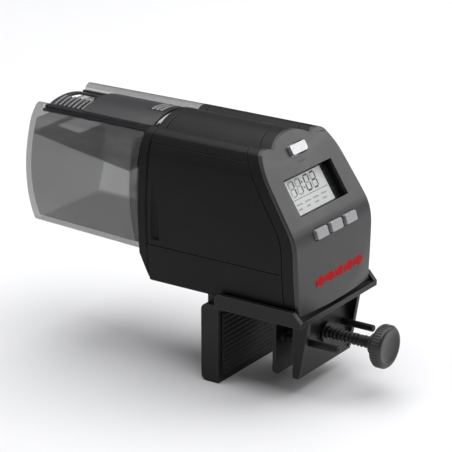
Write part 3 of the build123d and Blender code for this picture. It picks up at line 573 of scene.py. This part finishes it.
# ------------------------------------------------------------------ housing shells
# Six black mouldings make the housing: base, rear cap, body, front band, the battery door with
# its finger groove and the wall behind it. Only hairline seams show between them.
housing_plastic = moulded("housing_plastic", (0.0055, 0.0055, 0.0058), (0.028, 0.028, 0.029), 0.42,
                          grain=2600.0, Specular_IOR_Level=0.17)
for node, name, width in (("base_cover", "base_moulding", 0.22), ("rear_cap", "rear_cap_moulding", 0.22),
                          ("rear_shell", "body_moulding", 0.22), ("bay_wall", "bay_wall_moulding", 0.2),
                          ("front_shell", "front_band_moulding", 0.22),
                          ("battery_door", "battery_door_moulding", 0.22)):
    rounded(node, name, housing_plastic, width * mm)

# ------------------------------------------------------------------ control face
# The face is a separate satin moulding, charcoal rather than black, with softly rounded sides
# where it meets the front band. It is clipped over the buttons and the display frame.
satin = moulded("face_satin", (0.027, 0.027, 0.029), (0.14, 0.14, 0.145), 0.36, grain=3600.0, depth=0.000012,
                polish_and_highlight=2.0)
face_low, face_high = node_box("face_plate")
side_from, side_to = face_low.z + 1.5 * mm, face_high.z - 13.5 * mm
side_y = face_high.y - 3.5 * mm


def face_edges(edge):
    """Wide rounding along the two sides of the face, narrow everywhere else."""
    normals = [face.normal for face in edge.link_faces]
    outer = any(normal.x > 0.5 and abs(normal.y) < 0.5 for normal in normals)
    side = any(abs(normal.y) > 0.6 for normal in normals)
    heights = sorted(vertex.co.z for vertex in edge.verts)
    on_side = heights[0] > side_from and heights[1] < side_to and abs(edge.verts[0].co.y) > side_y
    return 5.5 if outer and side and on_side else 1.0


control_face = rounded("face_plate", "control_face", satin, 0.22 * mm, face_edges)

# ------------------------------------------------------------------ buttons
# Four caps in silver lacquer stand proud of the face and spring back when they are pressed.
silver = moulded("silver_lacquer", (0.46, 0.46, 0.47), (0.62, 0.62, 0.63), 0.33, grain=6000.0, depth=0.000006,
                 dust=0.0, Metallic=0.55)


def cap_edges(edge):
    """Full rounding on the top of a cap, little on its flange and stem."""
    return 4.0 if max(vertex.co @ outward for vertex in edge.verts) > crest - 0.4 * mm else 0.8


joint_axis = {joint["name"]: Vector(joint["axis"]) for joint in frame["joints"]}
for node in ("set_button_left", "set_button_middle", "set_button_right", "feed_button"):
    outward = -joint_axis[node + "_press"]
    crest = max(vertex.co @ outward for vertex in frame["nodes"][node].data.vertices)
    rounded(node, node + "_cap", silver, 0.16 * mm, cap_edges, spare=0.03 * mm ** 2)

# ------------------------------------------------------------------ display
# A clear acrylic window sits over a reflective liquid crystal panel in a black frame. The time
# stands in seven-segment digits over a divider, with small programme marks below.
face_out = -joint_axis["feed_button_press"].normalized()
face_up = Vector((-face_out.z, 0, face_out.x))
across = Vector((0, 1, 0))


def spread(node):
    """Extent of a node across the face, up the face and out of it, as three (low, high) pairs."""
    corners = [vertex.co for vertex in frame["nodes"][node].data.vertices]
    return [(min(c @ axis for c in corners), max(c @ axis for c in corners))
            for axis in (across, face_up, face_out)]


panel_u, panel_v, panel_w = spread("lcd_panel")
panel_mid = ((panel_u[0] + panel_u[1]) / 2, (panel_v[0] + panel_v[1]) / 2)


def printed(shapes, level, rise=0.03 * mm):
    """Thin printed shapes on the panel; each is a list of (across, up) points about its middle."""
    layer = bmesh.new()
    for shape in shapes:
        rings = [[layer.verts.new(across * (panel_mid[0] + u) + face_up * (panel_mid[1] + v)
                                  + face_out * height) for u, v in shape] for height in (level, level + rise)]
        layer.faces.new(rings[0][::-1])
        layer.faces.new(rings[1])
        for i in range(len(shape)):
            j = (i + 1) % len(shape)
            layer.faces.new((rings[0][i], rings[0][j], rings[1][j], rings[1][i]))
    bmesh.ops.recalc_face_normals(layer, faces=layer.faces)
    return baked(layer, "printed")


# The panel glows faintly through its emission. This is painted light that keeps it bright in the shade of its
# recess, since a reflective panel makes no light of its own.
crystal = moulded("crystal_panel", (0.60, 0.61, 0.60), (0.66, 0.67, 0.66), 0.32, grain=4000.0, depth=0.000004,
                  dust=0.0, polish_and_highlight=0.2, Emission_Color=(0.82, 0.84, 0.83, 1), Emission_Strength=0.16)
dress(crystal, "lcd_panel")

ink = moulded("segment_ink", (0.045, 0.047, 0.05), (0.06, 0.06, 0.065), 0.45, dust=0.0)
faint = moulded("idle_segment", (0.42, 0.43, 0.43), (0.44, 0.45, 0.45), 0.4, dust=0.0)
digit_w, digit_h, bar_w = 3.5 * mm, 7.0 * mm, 0.85 * mm
lit = {"0": "abcdef", "1": "bc", "3": "abcdg"}
strokes = {"a": ((0, 1), (1, 1)), "b": ((1, 1), (1, 0.5)), "c": ((1, 0.5), (1, 0)), "d": ((0, 0), (1, 0)),
           "e": ((0, 0.5), (0, 0)), "f": ((0, 1), (0, 0.5)), "g": ((0, 0.5), (1, 0.5))}


def strip(u0, u1, v0, v1):
    """A rectangle as points."""
    return [(u0, v0), (u1, v0), (u1, v1), (u0, v1)]


def segment(u, v, stroke, slant=0.12):
    """One pointed bar of a digit whose lower left corner is (u, v)."""
    first, last = (Vector((u + digit_w * a, v + digit_h * b)) for a, b in strokes[stroke])
    along = (last - first).normalized()
    beside = Vector((-along.y, along.x)) * bar_w / 2
    gap = along * 0.12 * mm
    tip = along * bar_w / 2
    points = [first + gap, first + gap + tip + beside, last - gap - tip + beside, last - gap,
              last - gap - tip - beside, first + gap + tip - beside]
    return [(p.x + slant * (p.y - v), p.y) for p in points]


active_half = 15.0 * mm
digit_row = 0.2 * mm
digit_places = [-12.6 * mm, -7.4 * mm, -0.4 * mm, 4.8 * mm]
shapes, idle = [], []
for place_u, character in zip(digit_places, "1103"):
    for stroke in strokes:
        (shapes if stroke in lit[character] else idle).append(segment(place_u, digit_row, stroke))
for dot_v in (0.3, 0.68):
    centre_u, centre_v, half = -1.9 * mm, digit_row + digit_h * dot_v, 0.45 * mm
    shapes.append(strip(centre_u - half, centre_u + half, centre_v - half, centre_v + half))
shapes.append(strip(-14.2 * mm, 14.0 * mm, -1.35 * mm, -1.1 * mm))
for slot_number in range(4):
    left = (-12.8 + 6.6 * slot_number) * mm
    idle.append(strip(left, left + 4.6 * mm, -4.0 * mm, -3.2 * mm))
    idle.append(strip(left, left + 3.0 * mm, -6.1 * mm, -5.3 * mm))
digit_level, mask_level = panel_w[1] + 0.02 * mm, panel_w[1] + 0.06 * mm
settle("display_digits", printed(shapes, digit_level), "housing", ink, slot="lcd_glass")
settle("display_idle_marks", printed(idle, digit_level, 0.015 * mm), "housing", faint, slot="lcd_glass")

mask_paint = moulded("mask_paint", (0.006, 0.006, 0.006), (0.01, 0.01, 0.01), 0.5, dust=0.0)
half_u, half_v = (panel_u[1] - panel_u[0]) / 2, (panel_v[1] - panel_v[0]) / 2
border_v = 0.6 * mm
mask = [strip(-half_u, -active_half, -half_v, half_v), strip(active_half, half_u, -half_v, half_v),
        strip(-active_half, active_half, -half_v, border_v - half_v),
        strip(-active_half, active_half, half_v - border_v, half_v)]
settle("display_mask", printed(mask, mask_level), "housing", mask_paint, slot="lcd_glass")
frame_plastic = moulded("display_frame_plastic", (0.006, 0.006, 0.0062), (0.02, 0.02, 0.02), 0.35)
rounded("lcd_frame", "display_frame", frame_plastic, 0.15 * mm)

# Clear acrylic: nearly invisible face on, with a hard-coat that mirrors at a glance.


def clear_sheet(name, tint, through, rough, rim=0.9, **sockets):
    """Transparent plastic whose faces let a share of the light straight through, less at a glance."""
    made = shader(name, tint, Roughness=rough, **sockets)
    tree = made.node_tree
    grazing, skin, steep, scaled, closed = fresh(tree, "ShaderNodeLayerWeight", "ShaderNodeGroup",
                                                 "ShaderNodeMath", "ShaderNodeMath", "ShaderNodeMath")
    steep.operation, scaled.operation, closed.operation = "POWER", "MULTIPLY", "ADD"
    steep.inputs[1].default_value, scaled.inputs[1].default_value = 5.0, rim
    skin.node_tree = spark_grain
    preset(skin, Patch=40.0, Grain=260.0)
    preset(grazing, Blend=0.5)
    cloud = ramp(tree, skin, "Tone", 1 - through - 0.03, 1 - through + 0.03)
    closed.use_clamp = True
    wavy = ramp(tree, skin, "Height", rough * 0.8, rough * 1.3)
    finish = tree.nodes["Principled BSDF"]
    wire(tree, [(grazing, "Facing", steep, 0), (steep, "Value", scaled, 0), (cloud, "Result", closed, 0),
                (scaled, "Value", closed, 1), (closed, "Value", finish, "Alpha"),
                (wavy, "Result", finish, "Roughness")])
    return made


window_acrylic = clear_sheet("window_acrylic", (0.02, 0.02, 0.022), 0.97, 0.05)
dress(window_acrylic, "lcd_lens")

# ------------------------------------------------------------------ printing on the housing
# A red shoal of plain fish is pad-printed across the foot of the face, with small dark marks
# beside the buttons. The ink follows the curve of the plate.
red_ink = moulded("red_ink", (0.48, 0.003, 0.007), (0.55, 0.006, 0.012), 0.5, grain=5000.0, depth=0.000004,
                  dust=0.0, Specular_IOR_Level=0.08)
grey_ink = moulded("mark_ink", (0.012, 0.012, 0.012), (0.02, 0.02, 0.02), 0.5, dust=0.0)
white_ink = moulded("white_ink", (0.62, 0.62, 0.60), (0.66, 0.66, 0.64), 0.45, dust=0.0)


def ray_tree(mesh):
    """A mesh's faces, ready to have rays cast at them."""
    surface = bmesh.new()
    surface.from_mesh(mesh)
    tree = BVHTree.FromBMesh(surface)
    surface.free()
    return tree


def laid_on(mesh, target, direction, lift):
    """Moves each point of a flat print along a direction onto a surface, just clear of it."""
    tree = ray_tree(target.data)
    aim = Vector(direction)
    for vertex in mesh.vertices:
        hit = tree.ray_cast(vertex.co - aim * 0.03, aim)[0]
        if hit:
            vertex.co = hit - aim * lift
    mesh.update()
    return mesh


def fish_outline(length, height):
    """Outline of a plain fish that swims along its first axis, body and forked tail."""
    body = [(length * (0.10 + 0.40 * cos(a)), height * 0.5 * sin(a)) for a in
            (radians(t) for t in range(-156, 157, 24))]
    return body + [(-length * 0.5, height * 0.5), (-length * 0.40, 0), (-length * 0.5, -height * 0.5)]


def flat_mesh(outlines, place):
    """Filled flat shapes, each point put in space by place(u, v), cut into small faces."""
    sheet_mesh = bmesh.new()
    for outline in outlines:
        sheet_mesh.faces.new([sheet_mesh.verts.new(place(u, v)) for u, v in outline])
    bmesh.ops.triangulate(sheet_mesh, faces=sheet_mesh.faces)
    bmesh.ops.subdivide_edges(sheet_mesh, edges=sheet_mesh.edges[:], cuts=2, use_grid_fill=True)
    return baked(sheet_mesh, "print")


# Shoal: copies of one fish along a line, each turned a little by a fixed seed.
shoal, start, end = tree_with("shoal", {"Fish": "Object", "Wobble": "Float"})
one, on_line, sway, low_turn, high_turn, minus = fresh(
    shoal, "GeometryNodeObjectInfo", "GeometryNodeInstanceOnPoints", "FunctionNodeRandomValue",
    "ShaderNodeCombineXYZ", "ShaderNodeCombineXYZ", "ShaderNodeMath")
sway.data_type = "FLOAT_VECTOR"
preset(sway, Seed=4)
minus.operation = "MULTIPLY"
minus.inputs[1].default_value = -1.0
wire(shoal, [(start, "Fish", one, "Object"), (one, "Geometry", on_line, "Instance"),
             (start, "Geometry", on_line, "Points"), (start, "Wobble", minus, 0),
             (minus, "Value", low_turn, "X"), (start, "Wobble", high_turn, "X"),
             (low_turn, "Vector", sway, "Min"), (high_turn, "Vector", sway, "Max"),
             (sway, "Value", on_line, "Rotation")])
finish_tree(shoal, start, end, on_line, "Instances")

ink_lift = 0.03 * mm
one_fish = link(bpy.data.objects.new("one_fish", flat_mesh([fish_outline(7.6 * mm, 4.7 * mm)],
                                                           lambda u, v: (0, u, v))))
shoal_z = face_low.z + 12.0 * mm
seeds = [(face_high.x, (-13.9 + 8.0 * i) * mm, shoal_z) for i in range(5)]
fish_row = grown(shoal, seeds, Fish=one_fish, Wobble=0.10, Material=red_ink)
bpy.data.objects.remove(one_fish)
settle("red_shoal", laid_on(fish_row, control_face, (-1, 0, 0), ink_lift), "housing", red_ink,
       slot="dark_satin_face")

# Marks: dots or a dash under each setting button, a short row of dots under the feed button.


def face_marks(outlines, middle_at):
    """Upright marks about a point, laid on the control face."""
    flat = flat_mesh(outlines, lambda u, v: middle_at + Vector((0, u, v)))
    return laid_on(flat, control_face, (-1, 0, 0), ink_lift)


dot_r = 0.3 * mm
press_rows = []
for node, outlines in (("set_button_left", [disc(0, 0, 0.32 * mm)]),
                       ("set_button_middle", [strip(-0.9 * mm, 0.9 * mm, -0.17 * mm, 0.17 * mm),
                                              disc(1.5 * mm, 0, dot_r)]),
                       ("set_button_right", [disc(-0.5 * mm, 0, dot_r), disc(0.5 * mm, 0, dot_r)])):
    corner, far = node_box(node)
    under = Vector((far.x, (corner.y + far.y) / 2, corner.z - 0.5 * mm))
    press_rows.append(face_marks(outlines, under))
corner, far = node_box("feed_button")
under = Vector((far.x, 0, corner.z - 0.4 * mm))
press_rows.append(face_marks([disc(k * 1.05 * mm, 0, dot_r) for k in range(-3, 4)], under))
settle("button_marks", joined(*press_rows), "housing", grey_ink, slot="dark_satin_face")

# ------------------------------------------------------------------ food drum
# Drum, collar and baffle are smoke-tinted clear styrene, so that the food level shows. The
# tint sits in the outer skin; the collar is welded into the drum's open end.


def two_skins(piece, outer, inner):
    """Gives the faces that look into a hollow of a piece the inner finish, and the rest the outer one."""
    tree = ray_tree(piece.data)
    piece.data.materials.clear()
    piece.data.materials.append(outer)
    piece.data.materials.append(inner)
    for polygon in piece.data.polygons:
        ahead = tree.ray_cast(polygon.center + polygon.normal * 0.1 * mm, polygon.normal)[0]
        polygon.material_index = 1 if ahead else 0


smoke = clear_sheet("smoke_styrene", (0.014, 0.014, 0.016), 0.57, 0.15, Specular_IOR_Level=0.4)
smoke_inside = clear_sheet("smoke_styrene_inside", (0.014, 0.014, 0.016), 0.84, 0.12)
smoke_rib = clear_sheet("smoke_styrene_rib", (0.012, 0.012, 0.013), 0.60, 0.12)
smoke_baffle = clear_sheet("smoke_styrene_baffle", (0.010, 0.010, 0.011), 0.62, 0.12)
two_skins(rounded("drum_shell", "food_drum", smoke, 0.3 * mm), smoke, smoke_inside)
two_skins(rounded("drum_collar", "drum_collar_moulding", smoke_rib, 0.15 * mm), smoke_rib, smoke_inside)
rounded("drum_baffle", "measuring_baffle", smoke_baffle, 0.15 * mm)

# ------------------------------------------------------------------ sliding lid
# The lid is a darker, glossier smoke sheet. Thumb ribs on its lower deck pull it open; their pale grey
# is a painted highlight of the ridges catching light. A black tongue under the raised part sets how
# much food falls through the dosing window.
lid_smoke = clear_sheet("lid_smoke", (0.026, 0.026, 0.028), 0.10, 0.30, rim=0.5, Specular_IOR_Level=0.75)
rounded("drum_lid", "lid_sheet", lid_smoke, 0.18 * mm)
tongue = moulded("tongue_plastic", (0.005, 0.005, 0.005), (0.02, 0.02, 0.02), 0.4, dust=0.0)
rounded("dosing_shutter", "dosing_tongue", tongue, 0.12 * mm)
# The ribs' pale grey is a painted highlight, standing in for light caught on the ridges.
rib_highlight_paint = moulded("rib_highlight_paint", (0.16, 0.16, 0.165), (0.30, 0.30, 0.30), 0.42, dust=0.02)
rounded("lid_ribs", "thumb_ribs", rib_highlight_paint, 0.3 * mm)

label_film = moulded("label_film", (0.006, 0.006, 0.006), (0.012, 0.012, 0.012), 0.34, grain=5200.0, dust=0.0)
lid_high = node_box("drum_lid")[1]
label_x, label_y = (lid_high.x - 10.2 * mm, lid_high.x - 0.8 * mm), (-5.0 * mm, 11.0 * mm)


def on_lid(outlines, lift):
    """Flat print on the crown of the lid; its first direction runs along the lid."""
    middle_x, middle_y = sum(label_x) / 2, sum(label_y) / 2
    flat = flat_mesh(outlines, lambda u, v: Vector((middle_x + u, middle_y + v, lid_high.z + 5 * mm)))
    return laid_on(flat, frame["nodes"]["drum_lid"], (0, 0, -1), lift)


half_u, half_v = (label_x[1] - label_x[0]) / 2, (label_y[1] - label_y[0]) / 2
settle("lid_label", on_lid([strip(-half_u, half_u, -half_v + 4 * mm * i, -half_v + 4 * mm * (i + 1))
                            for i in range(4)], 0.04 * mm), "lid", label_film, slot="smoke_lid")
row_step, tick_step = 2.4 * mm, 1.7
ticks = [strip(-3.6 * mm + row_step * row, -2.2 * mm + row_step * row,
               (-6.6 + tick_step * k) * mm, (-5.9 + tick_step * k) * mm)
         for row, many in ((0, 8), (1, 6), (2, 8)) for k in range(many)]
settle("lid_label_ticks", on_lid(ticks, 0.07 * mm), "lid", white_ink, slot="smoke_lid")

# ------------------------------------------------------------------ drive
# The square spigot that turns the drum is natural acetal, as are the gears. The idler runs on a
# steel axle between the rear cap and a black gearbox plate; the motor sits behind the plate.
acetal = moulded("natural_acetal", (0.70, 0.69, 0.64), (0.80, 0.79, 0.75), 0.36, grain=2400.0, depth=0.000008)


def brushed(name, colour, rough, grain, along=(1, 1, 1), **sockets):
    """Bare metal with fine drawn lines and uneven gloss."""
    made = shader(name, colour, Metallic=1.0, **sockets)
    tree = made.node_tree
    place, turn, lines, bump = fresh(tree, "ShaderNodeTexCoord", "ShaderNodeMapping", "ShaderNodeTexNoise",
                                     "ShaderNodeBump")
    preset(turn, Scale=along)
    preset(lines, Scale=grain, Detail=4.0)
    preset(bump, Distance=0.00001)
    shade = blend_colour(tree, lines, "Fac", tuple(0.75 * c for c in colour),
                         tuple(min(1, 1.15 * c) for c in colour))
    gloss = ramp(tree, lines, "Fac", rough - 0.08, rough + 0.12)
    finish = tree.nodes["Principled BSDF"]
    wire(tree, [(place, "Object", turn, "Vector"), (turn, "Vector", lines, "Vector"),
                (shade, 2, finish, "Base Color"), (gloss, "Result", finish, "Roughness"),
                (lines, "Fac", bump, "Height"), (bump, "Normal", finish, "Normal")])
    return made


steel = brushed("bright_steel", (0.56, 0.56, 0.57), 0.30, 1500.0, (1, 8, 8))
zinc = brushed("zinc_can", (0.50, 0.50, 0.49), 0.42, 900.0, (6, 1, 1))
nickel = brushed("nickel_spring", (0.66, 0.64, 0.60), 0.24, 2200.0)
gearbox_plastic = moulded("gearbox_plastic", (0.012, 0.012, 0.012), (0.03, 0.03, 0.03), 0.5)

dress(acetal, "output_gear", "idler_gear", "motor_pinion", "shaft_bush")
rounded("drive_shaft", "square_spigot", acetal, 0.15 * mm)
dress(steel, "idler_axle")
dress(zinc, "motor")
dress(gearbox_plastic, "position_switch", "button_switches")
rounded("gearbox_plate", "gearbox_plate_moulding", gearbox_plastic, 0.2 * mm)

# ------------------------------------------------------------------ screws
# Plated screws with a cross recess hold the base to the shells, and short ones the gearbox plate.


def islands(node):
    """Boxes of the separate solids of a node."""
    welded = weld(node)
    welded.verts.ensure_lookup_table()
    left, found = set(range(len(welded.verts))), []
    while left:
        todo, island = [left.pop()], []
        while todo:
            vertex = welded.verts[todo.pop()]
            island.append(vertex.co.copy())
            near = {edge.other_vert(vertex).index for edge in vertex.link_edges} & left
            left -= near
            todo += near
        found.append([Vector([pick(c[i] for c in island) for i in range(3)]) for pick in (min, max)])
    welded.free()
    return sorted(found, key=lambda pair: tuple(pair[0]))


# Screw: a head with a crossed recess and a plain shank on each seed point, turned by Turn.
screws, start, end = tree_with("screws", {"Head": "Float", "Rise": "Float", "Shank": "Float",
                                          "Length": "Float", "Turn": "Vector"})
head, shank, cross_a, cross_b, cut, both, on_screw = fresh(
    screws, "GeometryNodeMeshCylinder", "GeometryNodeMeshCone", "GeometryNodeMeshCube",
    "GeometryNodeMeshCube", "GeometryNodeMeshBoolean", "GeometryNodeJoinGeometry",
    "GeometryNodeInstanceOnPoints")
move_a, move_b, down, halve = fresh(screws, "GeometryNodeTransform", "GeometryNodeTransform",
                                    "ShaderNodeCombineXYZ", "ShaderNodeMath")
slot_long, slot_wide, slot_deep = 2.6 * mm, 0.55 * mm, 1.0 * mm
preset(head, Vertices=28)
preset(shank, Vertices=18, Side_Segments=14)
preset(cross_a, Size=(slot_long, slot_wide, slot_deep))
preset(cross_b, Size=(slot_wide, slot_long, slot_deep))
halve.operation = "MULTIPLY"
halve.inputs[1].default_value = -0.5
wire(screws, [(start, "Head", head, "Radius"), (start, "Rise", head, "Depth"),
              (start, "Shank", shank, "Radius Bottom"), (start, "Shank", shank, "Radius Top"),
              (start, "Length", shank, "Depth"),
              (start, "Rise", halve, 0), (halve, "Value", down, "Z"), (cross_a, "Mesh", move_a, "Geometry"),
              (cross_b, "Mesh", move_b, "Geometry"), (down, "Vector", move_a, "Translation"),
              (down, "Vector", move_b, "Translation"), (head, "Mesh", cut, "Mesh 1"),
              (move_a, "Geometry", cut, "Mesh 2"), (move_b, "Geometry", cut, "Mesh 2"),
              (shank, "Mesh", both, "Geometry"), (cut, "Mesh", both, "Geometry"),
              (both, "Geometry", on_screw, "Instance"), (start, "Geometry", on_screw, "Points"),
              (start, "Turn", on_screw, "Rotation")])
finish_tree(screws, start, end, on_screw, "Instances")

pairs = islands("housing_screws")
deep = pairs[0][1].z - pairs[0][0].z
settle("base_screws", grown(screws, [((a.x + b.x) / 2, (a.y + b.y) / 2, a.z + 0.65 * mm) for a, b in pairs],
                            Head=2.35 * mm, Rise=1.2 * mm, Shank=1.15 * mm, Length=deep - 0.7 * mm,
                            Turn=(0, 0, 0), Material=steel), "housing", steel, "housing_screws")
pairs = islands("gearbox_screws")
settle("plate_screws", grown(screws, [(a + b) / 2 for a, b in pairs],
                             Head=1.95 * mm, Rise=1.3 * mm, Shank=0.5 * mm, Length=1.2 * mm,
                             Turn=(0, radians(-90), 0), Material=steel), "housing", steel, "gearbox_screws")

# ------------------------------------------------------------------ circuit boards
# Two boards in green solder mask carry the display and the button switches; a lattice of
# thin copper tracks shows through the mask.
board_green = shader("solder_mask", (0.012, 0.09, 0.035), Roughness=0.32)
tree = board_green.node_tree
place, tracks, pick_track = fresh(tree, "ShaderNodeTexCoord", "ShaderNodeTexBrick", "ShaderNodeMapRange")
preset(tracks, Scale=240.0, Mortar_Size=0.035, Color1=(0.010, 0.085, 0.032, 1),
       Color2=(0.012, 0.10, 0.040, 1), Mortar=(0.06, 0.20, 0.06, 1))
preset(pick_track, To_Min=0.36, To_Max=0.26)
surface = tree.nodes["Principled BSDF"]
wire(tree, [(place, "Object", tracks, "Vector"), (tracks, "Color", surface, "Base Color"),
            (tracks, "Fac", pick_track, "Value"), (pick_track, "Result", surface, "Roughness")])
dress(board_green, "main_board", "button_board")

# ------------------------------------------------------------------ batteries
# Two AA cells lie head to tail in a black tray on nickel-plated contacts. Their sleeves are
# plain, dark with a copper-coloured shoulder at the positive end.
rounded("battery_tray", "battery_tray_moulding", gearbox_plastic, 0.2 * mm)
dress(nickel, "battery_contacts")
sleeve = moulded("cell_sleeve", (0.018, 0.018, 0.022), (0.05, 0.05, 0.05), 0.22, grain=1800.0, depth=0.000004)
shoulder = moulded("cell_shoulder", (0.45, 0.22, 0.09), (0.5, 0.28, 0.12), 0.24, grain=1800.0, depth=0.000004)
finishes = [sleeve, shoulder, nickel]
nose, band, nose_r = 1.2 * mm, 11.5 * mm, 2.7 * mm
cells = []
cell_rows = sorted(islands("battery_cells"), key=lambda pair: pair[0].y)
for row, (corner, far) in enumerate(cell_rows):
    centre = ((corner.y + far.y) / 2, (corner.z + far.z) / 2)
    radius = (far.z - corner.z) / 2
    tip, foot, way = (far.x, corner.x, -1) if row == 0 else (corner.x, far.x, 1)
    outline = [(tip, 0), (tip, 2.4 * mm), (tip + way * 0.3 * mm, nose_r), (tip + way * nose, nose_r),
               (tip + way * nose, radius - 0.9 * mm), (tip + way * (nose + 0.15 * mm), radius - 0.3 * mm),
               (tip + way * (nose + 0.6 * mm), radius), (tip + way * band, radius),
               (foot - way * 0.6 * mm, radius), (foot - way * 0.1 * mm, radius - 0.4 * mm),
               (foot - way * 0.1 * mm, radius - 1.2 * mm), (foot, radius - 1.6 * mm), (foot, 0)]
    cell = turned(outline, centre, 48)
    for material in finishes:
        cell.materials.append(material)
    for polygon in cell.polygons:
        reach_in = way * (polygon.center.x - tip)
        off_axis = (Vector((polygon.center.y, polygon.center.z)) - Vector(centre)).length
        bare = off_axis < radius - 1.0 * mm or reach_in < nose
        polygon.material_index = 2 if bare else (1 if reach_in < band else 0)
    cells.append(cell)
both_cells = joined(*cells)
indices = [polygon.material_index for polygon in both_cells.polygons]
piece = settle("aa_cells", both_cells, "housing", finishes, "battery_cells")
for polygon, index in zip(piece.data.polygons, indices):
    polygon.material_index = index

# Contact springs: flat conical coils of nickel wire behind each cell's foot.
coil, start, helix, outline, shift = wound("coil", {"Wide": "Float", "Narrow": "Float", "Length": "Float",
                                                    "Wire": "Float", "From": "Vector", "Turn": "Vector"})
preset(helix, Rotations=3.0)
preset(outline, Resolution=8)
wire(coil, [(start, "Wide", helix, "Start Radius"), (start, "Narrow", helix, "End Radius"),
            (start, "Wire", outline, "Radius"), (start, "Turn", shift, "Rotation")])
spring_low, spring_high = node_box("battery_springs")
coils = []
for row, (corner, far) in enumerate(cell_rows):
    at_low = row == 0
    x = spring_low.x + 0.3 * mm if at_low else spring_high.x - 0.3 * mm
    room = (corner.x - spring_low.x if at_low else spring_high.x - far.x) - 0.7 * mm
    coils.append(grown(coil, [(0, 0, 0)], Wide=3.7 * mm, Narrow=2.6 * mm, Length=max(room, 1.0 * mm),
                       Wire=0.24 * mm, From=(x, (corner.y + far.y) / 2, (corner.z + far.z) / 2),
                       Turn=(0, radians(90 if at_low else -90), 0), Material=nickel))
settle("contact_springs", joined(*coils), "housing", nickel, "battery_springs")
